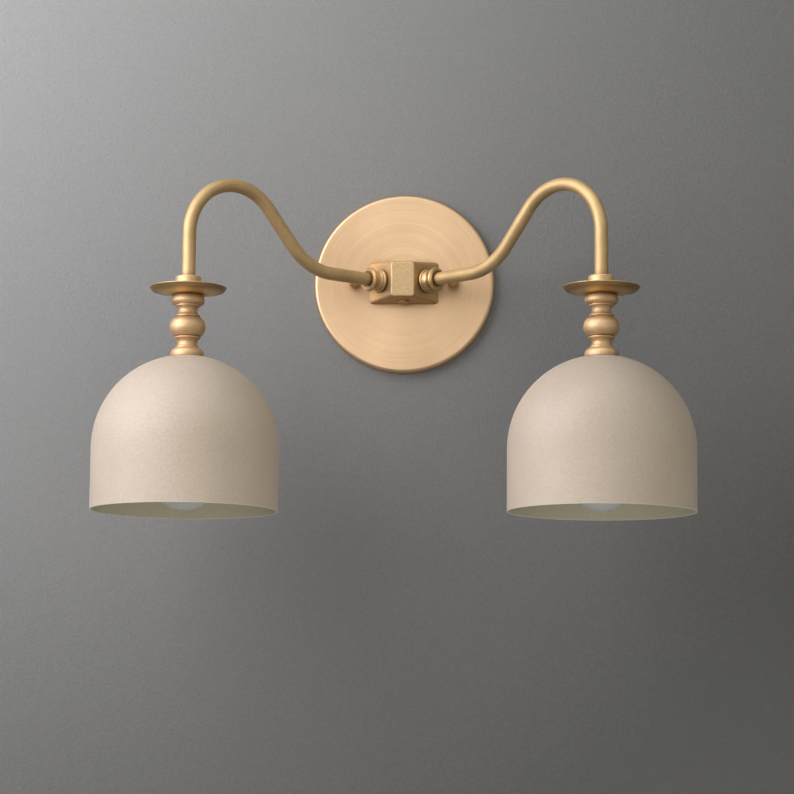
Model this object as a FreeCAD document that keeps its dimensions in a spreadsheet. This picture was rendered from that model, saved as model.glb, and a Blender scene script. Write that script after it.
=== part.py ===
import FreeCAD, Part
import math
import os
import Sketcher

# Double arm wall sconce. Millimetres, +Z up, +X to the right as seen from the room.
# The origin is the middle of the fixture on the wall: the wall is the plane Y = 0 and the room is at -Y.

Vector = FreeCAD.Vector
Rotation = FreeCAD.Rotation
doc = FreeCAD.newDocument("DoubleArmWallSconce")

# ---------------------------------------------------------------------------------------------
# Driving sizes: name, value, what it is
# ---------------------------------------------------------------------------------------------
SIZES = [
    ("fit_gap", 0.05, "radial clearance of a piece that is screwed or pushed into another"),
    ("contact_gap", 0.3, "gap between the bulb's tip and the lampholder's contact"),
    ("plate_dia", 127.0, "backplate across"),
    ("plate_depth", 6.35, "backplate from the wall to its front face"),
    ("plate_wall", 1.2, "backplate sheet"),
    ("plate_edge_radius", 2.6, "rounded front edge of the backplate"),
    ("wire_hole_dia", 20.4, "hole in the backplate for the wires"),
    ("strap_length", 104.0, "mounting strap"),
    ("strap_width", 22.0, "mounting strap"),
    ("strap_sheet", 1.6, "mounting strap sheet"),
    ("strap_corner_radius", 4.0, "corners of the mounting strap"),
    ("strap_hole_dia", 14.0, "middle hole of the strap, for the wires"),
    ("box_slot_spacing", 88.9, "the two slots for the junction box's screws, middle to middle"),
    ("box_slot_width", 5.0, "slot for a junction box screw"),
    ("box_slot_length", 11.0, "slot for a junction box screw, end to end"),
    ("stud_spacing", 69.85, "the two studs that hold the backplate"),
    ("stud_dia", 4.17, "stud"),
    ("stud_length", 12.0, "stud, from the wall"),
    ("stud_hole_play", 0.6, "how much wider the backplate's stud holes are than the studs"),
    ("ground_screw_offset", 21.0, "ground screw from the middle of the strap"),
    ("ground_screw_dia", 4.8, "ground screw"),
    ("ground_head_dia", 8.0, "ground screw head"),
    ("ground_head_height", 2.4, "ground screw head"),
    ("cap_nut_foot_dia", 6.6, "foot of the ball nut"),
    ("cap_nut_foot_height", 1.4, "foot of the ball nut"),
    ("cap_nut_waist_dia", 5.4, "waist of the ball nut, between foot and ball"),
    ("cap_nut_dia", 8.0, "ball of the ball nut"),
    ("cap_nut_waist_height", 0.5, "waist of the ball nut, between foot and ball"),
    ("cap_nut_bore_depth", 6.0, "thread in the ball nut"),
    ("arm_angle", 42.0, "angle of each arm to the wall, seen from above"),
    ("hub_front_width", 15.9, "hub front face"),
    ("hub_front_height", 24.8, "hub front face"),
    ("hub_rear_width", 48.6, "hub against the backplate"),
    ("hub_taper", 8.0, "slope of the hub's top and underside"),
    ("hub_side_wall", 3.5, "hub walls that carry the arms"),
    ("hub_wall", 3.0, "hub front, top and bottom walls"),
    ("hub_corner_radius", 2.6, "hub edges that run from front to back"),
    ("hub_edge_radius", 1.3, "hub edges round the front face"),
    ("boss_offset_x", 16.2, "screw bosses inside the hub, from its middle"),
    ("boss_offset_z", 9.4, "screw bosses inside the hub, from its middle"),
    ("boss_dia", 6.0, "screw boss"),
    ("boss_length", 5.0, "screw boss"),
    ("boss_bottom", 0.3, "what the screw hole leaves of the boss"),
    ("hub_screw_dia", 3.0, "screw from the backplate into the hub"),
    ("hub_screw_play", 0.4, "how much wider the backplate's screw holes are than the screws"),
    ("hub_screw_reach", 4.2, "hub screw, length in the boss"),
    ("hub_screw_head_dia", 5.6, "hub screw head"),
    ("hub_screw_head_height", 1.9, "hub screw head"),
    ("plug_place", 6.6, "plug under the hub, in front of the backplate"),
    ("plug_dia", 7.6, "head of the plug under the hub"),
    ("plug_height", 1.3, "head of the plug under the hub"),
    ("plug_crown", 0.5, "rounding of the plug's head"),
    ("plug_thread_dia", 6.0, "thread of the plug"),
    ("plug_thread_length", 2.6, "thread of the plug"),
    ("grommet_bore_dia", 18.6, "wire grommet, inside"),
    ("grommet_flange_dia", 22.8, "wire grommet, outside"),
    ("grommet_flange", 0.8, "wire grommet flange"),
    ("coupling_length", 11.6, "arm coupling from the hub to its outer face"),
    ("coupling_ring_dia", 16.6, "rings of the arm coupling"),
    ("coupling_ring_width", 2.3, "rings of the arm coupling"),
    ("coupling_ring_crown", 0.6, "rounding of the rings"),
    ("coupling_step_dia", 14.4, "small step beside each ring"),
    ("coupling_step_width", 0.8, "small step beside each ring"),
    ("coupling_end_width", 0.5, "small step at the coupling's outer face"),
    ("coupling_cove_depth", 1.0, "hollow between the rings"),
    ("coupling_stub_dia", 10.0, "threaded stub of the coupling"),
    ("coupling_stub_length", 6.5, "threaded stub of the coupling"),
    ("coupling_wire_dia", 7.2, "wireway of the coupling"),
    ("coupling_rim_gap", 1.1, "sunk ring round the tube in the coupling's outer face"),
    ("coupling_rim_depth", 0.9, "sunk ring round the tube in the coupling's outer face"),
    ("tube_socket_depth", 8.6, "how far the tube goes into the coupling"),
    ("coupling_nut_flats", 12.0, "nut on the coupling's stub, across flats"),
    ("coupling_nut_height", 2.4, "nut on the coupling's stub"),
    ("coupling_nut_clearance", 0.67, "room between the nut on the coupling's stub and the backplate"),
    ("tube_dia", 9.0, "arm tube outside"),
    ("tube_wall", 1.0, "arm tube wall"),
    ("arm_first_run", 43.0, "level run of the arm, from the hub's side face"),
    ("arm_low_radius", 45.0, "first bend of the arm, on its middle line"),
    ("arm_rise_angle", 48.0, "slope of the rising run"),
    ("arm_rise_run", 31.0, "rising run of the arm"),
    ("arm_top_radius", 37.0, "arch of the arm, on its middle line"),
    ("neck_drop", 28.6, "top of the neck below the arm's level run"),
    ("tube_neck_depth", 12.0, "how far the tube goes into the neck"),
    ("saucer_dia", 50.8, "saucer across its lip"),
    ("saucer_depth", 4.9, "saucer from its seat to the top of its lip"),
    ("saucer_sheet", 1.0, "saucer sheet"),
    ("saucer_seat_dia", 22.6, "flat middle of the saucer"),
    ("saucer_crease_dia", 47.0, "crease where the lip turns up"),
    ("saucer_crease_height", 2.2, "crease over the seat"),
    ("saucer_lip_edge", 0.5, "rounded edge of the lip"),
    ("collar_dia", 17.4, "collar over the saucer"),
    ("collar_height", 11.3, "collar over the saucer"),
    ("collar_shoulder", 1.4, "rounded shoulder of the collar"),
    ("neck_ring_dia", 22.2, "top ring of the neck"),
    ("neck_ring_height", 7.0, "top ring of the neck"),
    ("neck_top_dia", 19.2, "flat top of the neck"),
    ("neck_fillet_height", 1.0, "the two small steps of the neck"),
    ("neck_upper_fillet_dia", 16.6, "small step under the top ring"),
    ("neck_lower_fillet_dia", 15.6, "small step over the foot"),
    ("neck_upper_cove_height", 5.8, "hollow over the ball"),
    ("neck_upper_cove_depth", 1.5, "hollow over the ball"),
    ("neck_lower_cove_height", 5.2, "hollow under the ball"),
    ("neck_lower_cove_depth", 1.3, "hollow under the ball"),
    ("neck_quirk", 0.5, "how far the hollows' ends stand back"),
    ("neck_bead_height", 1.3, "beads over and under the ball"),
    ("neck_upper_bead_dia", 16.6, "bead over the ball"),
    ("neck_lower_bead_dia", 17.6, "bead under the ball"),
    ("neck_bead_crown", 0.35, "rounding of the beads"),
    ("neck_ball_dia", 23.9, "ball of the neck"),
    ("neck_ball_height", 13.2, "ball of the neck"),
    ("neck_ball_end_dia", 16.0, "ball of the neck, where it meets the beads"),
    ("neck_foot_dia", 22.3, "foot of the neck"),
    ("neck_foot_height", 5.8, "foot of the neck"),
    ("neck_foot_band", 1.6, "upright band of the foot"),
    ("neck_foot_top_dia", 16.4, "foot of the neck, at its top"),
    ("neck_wire_dia", 6.8, "wireway of the neck"),
    ("nipple_dia", 10.0, "threaded nipple that holds the shade"),
    ("nipple_bore_dia", 7.0, "threaded nipple, inside"),
    ("nipple_neck_depth", 14.0, "how far the nipple goes into the neck"),
    ("nipple_cap_depth", 4.0, "how far the nipple goes into the lampholder cap"),
    ("shade_dia", 123.2, "shade across"),
    ("shade_height", 101.8, "shade from its seat to its rim"),
    ("shade_sheet", 1.0, "shade sheet"),
    ("shade_flat_dia", 21.0, "flat seat on top of the shade"),
    ("washer_dia", 19.0, "washer under the shade"),
    ("washer_sheet", 1.0, "washer under the shade"),
    ("shade_nut_flats", 14.0, "nut under the shade, across flats"),
    ("shade_nut_height", 3.0, "nut under the shade"),
    ("holder_dia", 35.0, "lampholder"),
    ("holder_wall", 1.9, "lampholder wall"),
    ("holder_cap_height", 5.3, "lampholder cap"),
    ("holder_cap_top_dia", 18.0, "flat top of the lampholder cap"),
    ("holder_cap_band", 0.8, "upright edge of the lampholder cap"),
    ("holder_cap_crown", 0.9, "rounding of the lampholder cap"),
    ("holder_cap_wall", 1.6, "lampholder cap wall"),
    ("holder_boss_wall", 2.4, "threaded boss in the lampholder cap"),
    ("holder_height", 31.5, "lampholder body"),
    ("holder_web", 2.5, "web across the lampholder body"),
    ("shell_sheet", 0.5, "lampholder screw shell sheet"),
    ("shell_play", 0.4, "radial gap between the bulb's thread and the screw shell"),
    ("shell_height", 23.0, "lampholder screw shell"),
    ("shell_hole_dia", 18.0, "hole in the top of the screw shell"),
    ("thread_pitch", 3.63, "lamp thread"),
    ("thread_depth", 0.7, "lamp thread"),
    ("contact_drop", 2.2, "how far the centre contact reaches below the web"),
    ("contact_sheet", 0.5, "centre contact"),
    ("contact_width", 5.0, "centre contact"),
    ("contact_length", 9.0, "centre contact"),
    ("contact_rivet_dia", 3.0, "rivet of the centre contact"),
    ("contact_rivet_length", 1.5, "rivet of the centre contact"),
    ("bulb_dia", 47.6, "bulb across"),
    ("bulb_length", 86.0, "bulb, tip of its contact to its end"),
    ("bulb_glass_wall", 0.8, "bulb glass"),
    ("bulb_neck_dia", 25.6, "neck of the bulb's glass"),
    ("bulb_flare_angle", 30.0, "where the bulb's ball turns into its flank, above its widest place"),
    ("bulb_plug_length", 5.0, "part of the glass inside the bulb's cap"),
    ("bulb_cap_dia", 26.2, "bulb cap over its thread"),
    ("bulb_cap_sheet", 0.4, "bulb cap sheet"),
    ("bulb_cap_height", 22.0, "bulb cap"),
    ("bulb_cap_hole_dia", 14.0, "hole in the top of the bulb cap"),
    ("bulb_insulator_dia", 21.4, "bulb insulator"),
    ("bulb_insulator_top_dia", 12.0, "bulb insulator"),
    ("bulb_insulator_height", 3.0, "bulb insulator"),
    ("bulb_tip_dia", 8.4, "bulb contact"),
    ("bulb_tip_height", 1.5, "bulb contact"),
    ("bulb_tip_stem_dia", 3.0, "stem of the bulb contact"),
    ("wire_dia", 2.4, "wire with its insulation"),
    ("wire_offset", 1.5, "each wire from the middle of the tube"),
    ("wire_exit", 4.2, "wires at the wall, from the middle of the hub"),
    ("wire_bend_radius", 8.0, "bend of the wires in the hub"),
    ("wire_end_gap", 0.3, "end of the wires, from the wall"),
]

sheet = doc.addObject("Spreadsheet::Sheet", "Sizes")
for row, (alias, number, meaning) in enumerate(SIZES, start=1):
    sheet.set("A%d" % row, alias)
    sheet.set("B%d" % row, str(number))
    sheet.setAlias("B%d" % row, alias)
    sheet.set("C%d" % row, meaning)
doc.recompute()


class Size:
    """A size: its number, and the formula that works it out from the sheet."""

    def __init__(self, number, formula):
        self.number = number
        self.formula = formula

    def __add__(self, other):
        other = as_size(other)
        return Size(self.number + other.number, "(%s + %s)" % (self.formula, other.formula))

    def __sub__(self, other):
        other = as_size(other)
        return Size(self.number - other.number, "(%s - %s)" % (self.formula, other.formula))

    def __mul__(self, other):
        other = as_size(other)
        return Size(self.number * other.number, "(%s * %s)" % (self.formula, other.formula))

    def __truediv__(self, other):
        other = as_size(other)
        return Size(self.number / other.number, "(%s / %s)" % (self.formula, other.formula))

    def __neg__(self):
        return Size(-self.number, "(0 - %s)" % self.formula)


def as_size(value):
    return value if isinstance(value, Size) else Size(float(value), repr(float(value)))


def root(value):
    return Size(math.sqrt(value.number), "sqrt(%s)" % value.formula)


def sine(angle):
    return Size(math.sin(math.radians(angle.number)), "sin(%s)" % angle.formula)


def cosine(angle):
    return Size(math.cos(math.radians(angle.number)), "cos(%s)" % angle.formula)


def tangent(angle):
    return Size(math.tan(math.radians(angle.number)), "tan(%s)" % angle.formula)


class Sheet:
    """Gives each size of the sheet by its name."""

    def __getattr__(self, alias):
        return Size(float(getattr(sheet, alias)), "Sizes." + alias)


size = Sheet()
ZERO = as_size(0)
ONE = as_size(1)
SIDES = (("left", -1), ("right", 1))
# which way an arc bends on its way to the next corner
LEFT = 1
RIGHT = -1

# ---------------------------------------------------------------------------------------------
# Places that several pieces share
# ---------------------------------------------------------------------------------------------
plate_inside = size.plate_depth - size.plate_wall
hub_depth = (size.hub_rear_width - size.hub_front_width) / 2 / tangent(size.arm_angle)
hub_rear_height = size.hub_front_height + hub_depth * tangent(size.hub_taper) * 2
# where the arm's axis leaves the hub's side face: as far out as the nut inside needs to clear the plate
arm_root_depth = (
    size.coupling_nut_clearance + (size.hub_side_wall + size.coupling_nut_height) * sine(size.arm_angle)
    + size.coupling_nut_flats / 2 * cosine(size.arm_angle)
)
arm_root_x = size.hub_rear_width / 2 - arm_root_depth * tangent(size.arm_angle)
arm_root_y = -(size.plate_depth + arm_root_depth)
# the arm's middle line in its own upright plane: distance from the hub, and height
low_bend_end = size.arm_first_run + size.arm_low_radius * sine(size.arm_rise_angle)
low_bend_height = size.arm_low_radius * (ONE - cosine(size.arm_rise_angle))
rise_end = low_bend_end + size.arm_rise_run * cosine(size.arm_rise_angle)
rise_height = low_bend_height + size.arm_rise_run * sine(size.arm_rise_angle)
arm_reach = rise_end + size.arm_top_radius * (ONE + sine(size.arm_rise_angle))
arch_height = rise_height - size.arm_top_radius * cosine(size.arm_rise_angle)
tube_start = size.coupling_length - size.tube_socket_depth
tube_end_z = -(size.neck_drop + size.tube_neck_depth)
shade_axis_x = arm_root_x + arm_reach * cosine(size.arm_angle)
shade_axis_y = arm_root_y - arm_reach * sine(size.arm_angle)
# heights along the shade's axis
neck_height = (
    size.neck_foot_height + size.neck_fillet_height * 2 + size.neck_lower_cove_height
    + size.neck_bead_height * 2 + size.neck_ball_height + size.neck_upper_cove_height
    + size.neck_ring_height
)
neck_top_z = -size.neck_drop
saucer_top_z = neck_top_z + size.saucer_sheet
shade_seat_z = neck_top_z - neck_height
shade_inside_z = shade_seat_z - size.shade_sheet
washer_under_z = shade_inside_z - size.washer_sheet
nut_under_z = washer_under_z - size.shade_nut_height
holder_top_z = nut_under_z - size.holder_cap_height
web_under_z = holder_top_z - size.holder_web
bulb_end_z = web_under_z - size.contact_drop - size.contact_gap - size.bulb_length
nipple_length = (
    size.nipple_neck_depth + size.shade_sheet + size.washer_sheet + size.shade_nut_height
    + size.nipple_cap_depth
)
# heights along the bulb, from its end up
bulb_cap_end = size.bulb_length - size.bulb_tip_height - size.bulb_insulator_height
bulb_cap_start = bulb_cap_end - size.bulb_cap_height
bulb_cap_root = size.bulb_cap_dia / 2 - size.thread_depth
shell_crest = size.bulb_cap_dia / 2 + size.shell_play


# ---------------------------------------------------------------------------------------------
# Drawing
# ---------------------------------------------------------------------------------------------
def bind(thing, prop, value):
    thing.setExpression(prop, as_size(value).formula)


def new_body(label):
    body = doc.addObject("PartDesign::Body", label)
    body.Label = label
    return body


def new_sketch(body, role, name, offset=ZERO):
    """A sketch on one of the body's own planes, or that far in front of it."""
    sketch = body.newObject("Sketcher::SketchObject", name)
    plane = [feature for feature in body.Origin.OriginFeatures if feature.Role == role][0]
    sketch.AttachmentSupport = [(plane, "")]
    sketch.MapMode = "FlatFace"
    bind(sketch, "AttachmentOffset.Base.z", offset)
    return sketch


def fix_point(sketch, index, end, across, up):
    """Ties one end of a line or arc to its place in the sketch."""
    for kind, axis, value in (("DistanceX", -2, across), ("DistanceY", -1, up)):
        value = as_size(value)
        if value.number == 0.0:
            sketch.addConstraint(Sketcher.Constraint("PointOnObject", index, end, axis))
        else:
            rule = Sketcher.Constraint(kind, -1, 1, index, end, value.number)
            bind(sketch, "Constraints[%d]" % sketch.addConstraint(rule), value)


def fix_radius(sketch, index, radius):
    rule = Sketcher.Constraint("Radius", index, as_size(radius).number)
    bind(sketch, "Constraints[%d]" % sketch.addConstraint(rule), radius)


def arc_through(start, end, radius, turn):
    """The arc of under half a circle between two corners that bends to the left or to the right.

    It runs anticlockwise, so one that bends to the right is drawn from its end.
    """
    chord = end - start
    half = chord.Length / 2
    left = Vector(-chord.y, chord.x, 0).normalize()
    rise = radius - math.sqrt(max(radius * radius - half * half, 0.0))
    middle = (start + end) / 2 - left * turn * rise
    return Part.Arc(start, middle, end) if turn == LEFT else Part.Arc(end, middle, start)


def draw(sketch, outline, closed=True):
    """Draws an outline and ties each corner to its sizes.

    A step (across, up) is a line to that corner, and (across, up, radius, turn) an arc to it.
    A closed outline comes back to its first corner, with a line if its last step doesn't.
    """
    corners = [Vector(as_size(step[0]).number, as_size(step[1]).number, 0) for step in outline]
    steps = list(outline[1:])
    if closed and not corners[-1].isEqual(corners[0], 1e-9):
        steps.append(outline[0][:2])
        corners.append(corners[0])
    edges = []
    for step, start, end in zip(steps, corners, corners[1:]):
        if len(step) == 4:
            index = sketch.addGeometry(arc_through(start, end, as_size(step[2]).number, step[3]), False)
            fix_radius(sketch, index, step[2])
            first = 1 if step[3] == LEFT else 2
        else:
            index = sketch.addGeometry(Part.LineSegment(start, end), False)
            first = 1
        edges.append((index, first, 3 - first))
    for number, (index, first, last) in enumerate(edges):
        fix_point(sketch, index, first, outline[number][0], outline[number][1])
        if closed or number + 1 < len(edges):
            following = edges[(number + 1) % len(edges)]
            rule = Sketcher.Constraint("Coincident", index, last, following[0], following[1])
            sketch.addConstraint(rule)
        else:
            fix_point(sketch, index, last, steps[-1][0], steps[-1][1])


def draw_circle(sketch, radius, across=ZERO, up=ZERO):
    middle = Vector(as_size(across).number, as_size(up).number, 0)
    index = sketch.addGeometry(Part.Circle(middle, Vector(0, 0, 1), as_size(radius).number), False)
    fix_radius(sketch, index, radius)
    fix_point(sketch, index, 3, across, up)


def draw_hexagon(sketch, flats):
    """A hexagon round the origin with two corners on the upright axis."""
    corner = flats / root(as_size(3))
    half = flats / 2
    draw(sketch, [(ZERO, corner), (-half, corner / 2), (-half, -corner / 2), (ZERO, -corner),
                  (half, -corner / 2), (half, corner / 2)])


def arc_radius(across, up, rise):
    """Radius of an arc from its chord and its rise over that chord."""
    return ((across * across + up * up) / 4 + rise * rise) / (rise * 2)


def quarter_radius(across, up):
    """Radius of an arc that starts along 'up' and moves 'across' on its way."""
    return (across * across + up * up) / (across * 2)


# ---------------------------------------------------------------------------------------------
# Making
# ---------------------------------------------------------------------------------------------
def turned(label, outline, along):
    """A piece turned round its axis. The outline's corners are (radius, distance along the axis)."""
    body = new_body(label)
    plane = "XZ_Plane" if along == "Z" else "XY_Plane"
    sketch = new_sketch(body, plane, label + "_outline")
    if along == "X":
        # radius is drawn upwards here, so the arcs bend the other way
        outline = [(step[1], step[0]) if len(step) == 2 else (step[1], step[0], step[2], -step[3])
                   for step in outline]
    draw(sketch, outline)
    turn = body.newObject("PartDesign::Revolution", label + "_turned")
    turn.Profile = sketch
    turn.ReferenceAxis = (sketch, ["H_Axis" if along == "X" else "V_Axis"])
    turn.Angle = 360.0
    return body


def pad(body, sketch, length, middle=False):
    feature = body.newObject("PartDesign::Pad", sketch.Name + "_pad")
    feature.Profile = sketch
    bind(feature, "Length", length)
    feature.Midplane = middle
    return feature


def cut_through(body, sketch):
    feature = body.newObject("PartDesign::Pocket", sketch.Name + "_cut")
    feature.Profile = sketch
    feature.Type = "ThroughAll"
    feature.Midplane = True
    return feature


def loft(body, kind, name, first, second):
    feature = body.newObject(kind, name)
    feature.Profile = first
    feature.Sections = [second]
    feature.Ruled = True
    return feature


def round_edges(body, name, radius, wanted):
    doc.recompute()
    base = body.Tip
    edges = ["Edge%d" % number for number, edge in enumerate(base.Shape.Edges, start=1) if wanted(edge)]
    feature = body.newObject("PartDesign::Fillet", name)
    feature.Base = (base, edges)
    bind(feature, "Radius", radius)


def rod(name, radius, length, across, out, up=ZERO):
    """A round bar that stands towards the room, from 'out' millimetres in front of the wall."""
    bar = doc.addObject("Part::Cylinder", name)
    bind(bar, "Radius", radius)
    bind(bar, "Height", length)
    place(bar, across, -out, up, Vector(1, 0, 0), as_size(90))
    return bar


def joined(label, pieces):
    whole = doc.addObject("Part::MultiFuse", label)
    whole.Label = label
    whole.Shapes = pieces
    return whole


# ---------------------------------------------------------------------------------------------
# Placing
# ---------------------------------------------------------------------------------------------
kept = []


def keep(thing):
    kept.append(thing)


def place(thing, across=ZERO, out=ZERO, up=ZERO, axis=Vector(0, 0, 1), angle=ZERO):
    thing.Placement = FreeCAD.Placement(Vector(0, 0, 0), Rotation(axis, 1))
    bind(thing, "Placement.Rotation.Angle", angle)
    bind(thing, "Placement.Base.x", across)
    bind(thing, "Placement.Base.y", out)
    bind(thing, "Placement.Base.z", up)
    return thing


def place_from_wall(thing, across=ZERO):
    """Turns a piece made along +Y so that it stands out of the wall towards the room."""
    return place(thing, across, angle=as_size(180))


def place_on_arm(thing, side):
    """Puts a piece made along +X on the arm's axis, with its origin on the hub's side face."""
    angle = -size.arm_angle if side > 0 else size.arm_angle + 180
    return place(thing, arm_root_x * side, arm_root_y, ZERO, angle=angle)


def place_on_shade_axis(thing, side, up):
    return place(thing, shade_axis_x * side, shade_axis_y, up)


# ---------------------------------------------------------------------------------------------
# On the wall: strap, studs, ground screw, backplate, ball nuts
# ---------------------------------------------------------------------------------------------
def bar_outline(length, width, radius):
    """A bar along X round the origin, with rounded corners."""
    end = length / 2
    side = width / 2
    return [
        (-end + radius, -side), (end - radius, -side), (end, -side + radius, radius, LEFT),
        (end, side - radius), (end - radius, side, radius, LEFT), (-end + radius, side),
        (-end, side - radius, radius, LEFT), (-end, -side + radius),
        (-end + radius, -side, radius, LEFT),
    ]


def slot_outline(middle, width, length):
    """A slot along X: two sides, and each round end as two quarter circles."""
    half = width / 2
    inner = middle - (length / 2 - half)
    outer = middle + (length / 2 - half)
    return [
        (inner, -half), (outer, -half), (outer + half, ZERO, half, LEFT), (outer, half, half, LEFT),
        (inner, half), (inner - half, ZERO, half, LEFT), (inner, -half, half, LEFT),
    ]


def make_mounting_strap():
    body = new_body("mounting_strap")
    bar = new_sketch(body, "XZ_Plane", "strap_outline")
    draw(bar, bar_outline(size.strap_length, size.strap_width, size.strap_corner_radius))
    pad(body, bar, size.strap_sheet)
    holes = new_sketch(body, "XZ_Plane", "strap_holes")
    draw_circle(holes, size.strap_hole_dia / 2)
    draw_circle(holes, size.ground_screw_dia / 2 + size.fit_gap, size.ground_screw_offset)
    for side in (-1, 1):
        slot_middle = size.box_slot_spacing / 2 * side
        draw(holes, slot_outline(slot_middle, size.box_slot_width, size.box_slot_length))
        draw_circle(holes, size.stud_dia / 2 + size.fit_gap, size.stud_spacing / 2 * side)
    cut_through(body, holes)
    keep(body)


def make_strap_studs():
    studs = [rod(side + "_stud", size.stud_dia / 2, size.stud_length, size.stud_spacing / 2 * sign, ZERO)
             for side, sign in SIDES]
    keep(joined("strap_studs", studs))


def make_ground_screw():
    shank = size.ground_screw_dia / 2
    head = size.ground_head_dia / 2
    top = size.strap_sheet + size.ground_head_height
    screw = turned("ground_screw", [
        (ZERO, ZERO), (shank, ZERO), (shank, size.strap_sheet), (head, size.strap_sheet),
        (head, top), (ZERO, top),
    ], "Y")
    keep(place_from_wall(screw, size.ground_screw_offset))


def make_backplate():
    rim = size.plate_dia / 2
    edge = size.plate_edge_radius
    inner_edge = edge - size.plate_wall
    wire_hole = size.wire_hole_dia / 2
    body = turned("backplate", [
        (wire_hole, plate_inside), (wire_hole, size.plate_depth), (rim - edge, size.plate_depth),
        (rim, size.plate_depth - edge, edge, RIGHT), (rim, ZERO), (rim - size.plate_wall, ZERO),
        (rim - size.plate_wall, size.plate_depth - edge),
        (rim - edge, plate_inside, inner_edge, LEFT),
    ], "Y")
    holes = new_sketch(body, "XZ_Plane", "backplate_holes")
    for side in (-1, 1):
        draw_circle(holes, (size.stud_dia + size.stud_hole_play) / 2, size.stud_spacing / 2 * side)
        for level in (-1, 1):
            draw_circle(holes, (size.hub_screw_dia + size.hub_screw_play) / 2,
                        size.boss_offset_x * side, size.boss_offset_z * level)
    cut_through(body, holes)
    keep(place_from_wall(body))


def make_cap_nut(side, sign):
    foot = size.cap_nut_foot_dia / 2
    waist = size.cap_nut_waist_dia / 2
    ball = size.cap_nut_dia / 2
    bore = size.stud_dia / 2 + size.fit_gap
    waist_top = size.cap_nut_foot_height + size.cap_nut_waist_height
    middle = waist_top + root(ball * ball - waist * waist)
    nut = turned(side + "_cap_nut", [
        (bore, ZERO), (foot, ZERO), (foot, size.cap_nut_foot_height), (waist, size.cap_nut_foot_height),
        (waist, waist_top), (ball, middle, ball, LEFT), (ZERO, middle + ball, ball, LEFT),
        (ZERO, size.cap_nut_bore_depth), (bore, size.cap_nut_bore_depth),
    ], "Y")
    keep(place(nut, size.stud_spacing / 2 * sign, -size.plate_depth, angle=as_size(180)))


# ---------------------------------------------------------------------------------------------
# The hub: cast body, plug, screws, grommet
# ---------------------------------------------------------------------------------------------
def draw_rectangle(sketch, half_width, half_height):
    draw(sketch, [(-half_width, -half_height), (half_width, -half_height),
                  (half_width, half_height), (-half_width, half_height)])


def make_hub_casting():
    """The casting without the holes for the arms and the plug."""
    body = new_body("hub_casting")
    front = size.plate_depth + hub_depth
    rear_face = new_sketch(body, "XZ_Plane", "hub_rear_face", size.plate_depth)
    draw_rectangle(rear_face, size.hub_rear_width / 2, hub_rear_height / 2)
    front_face = new_sketch(body, "XZ_Plane", "hub_front_face", front)
    draw_rectangle(front_face, size.hub_front_width / 2, size.hub_front_height / 2)
    loft(body, "PartDesign::AdditiveLoft", "hub_block", rear_face, front_face)
    round_edges(body, "hub_long_edges", size.hub_corner_radius,
                lambda edge: abs(edge.Vertexes[0].Y - edge.Vertexes[-1].Y) > hub_depth.number / 2)
    round_edges(body, "hub_front_edges", size.hub_edge_radius,
                lambda edge: max(corner.Y for corner in edge.Vertexes) < -front.number + size.fit_gap.number)

    side_shift = size.hub_side_wall / cosine(size.arm_angle)
    cavity_mouth = new_sketch(body, "XZ_Plane", "hub_cavity_mouth", size.plate_depth)
    draw_rectangle(cavity_mouth, size.hub_rear_width / 2 - side_shift, hub_rear_height / 2 - size.hub_wall)
    cavity_floor = new_sketch(body, "XZ_Plane", "hub_cavity_floor", front - size.hub_wall)
    draw_rectangle(
        cavity_floor,
        size.hub_front_width / 2 + size.hub_wall * tangent(size.arm_angle) - side_shift,
        size.hub_front_height / 2 + size.hub_wall * tangent(size.hub_taper) - size.hub_wall)
    loft(body, "PartDesign::SubtractiveLoft", "hub_cavity", cavity_mouth, cavity_floor)

    bosses = new_sketch(body, "XZ_Plane", "hub_bosses", size.plate_depth)
    threads = new_sketch(body, "XZ_Plane", "hub_threads", size.plate_depth)
    for side in (-1, 1):
        for level in (-1, 1):
            place_x = size.boss_offset_x * side
            place_z = size.boss_offset_z * level
            draw_circle(bosses, size.boss_dia / 2, place_x, place_z)
            draw_circle(threads, size.hub_screw_dia / 2 + size.fit_gap, place_x, place_z)
    pad(body, bosses, size.boss_length)
    screw_holes = body.newObject("PartDesign::Pocket", "hub_screw_holes")
    screw_holes.Profile = threads
    screw_holes.Reversed = True
    bind(screw_holes, "Length", size.boss_length - size.boss_bottom)
    return body


def place_under_hub(thing):
    """Puts a piece made along +Z on the hub's sloping underside, pointing out of it."""
    level = hub_rear_height / 2 - size.plug_place * tangent(size.hub_taper)
    return place(thing, ZERO, -(size.plate_depth + size.plug_place), -level,
                 Vector(1, 0, 0), as_size(180) - size.hub_taper)


def drill(name, radius, start, end, along):
    """A round cutter along an axis."""
    return turned(name, [(ZERO, start), (radius, start), (radius, end), (ZERO, end)], along)


def make_hub():
    stub_hole = size.coupling_stub_dia / 2 + size.fit_gap
    drills = [place_on_arm(drill(side + "_arm_drill", stub_hole, -size.coupling_stub_length,
                                 size.hub_side_wall, "X"), sign) for side, sign in SIDES]
    plug_hole = size.plug_thread_dia / 2 + size.fit_gap
    drills.append(place_under_hub(drill("plug_drill", plug_hole, -size.hub_wall * 1.5, size.hub_wall, "Z")))
    hub = doc.addObject("Part::Cut", "hub_body")
    hub.Label = "hub_body"
    hub.Base = make_hub_casting()
    hub.Tool = joined("hub_drills", drills)
    keep(hub)


def make_hub_plug():
    head = size.plug_dia / 2
    thread = size.plug_thread_dia / 2
    crown = size.plug_crown
    plug = turned("hub_plug", [
        (ZERO, -size.plug_thread_length), (thread, -size.plug_thread_length), (thread, ZERO),
        (head, ZERO), (head, size.plug_height - crown),
        (head - crown, size.plug_height, crown, LEFT), (ZERO, size.plug_height),
    ], "Z")
    keep(place_under_hub(plug))


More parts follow.
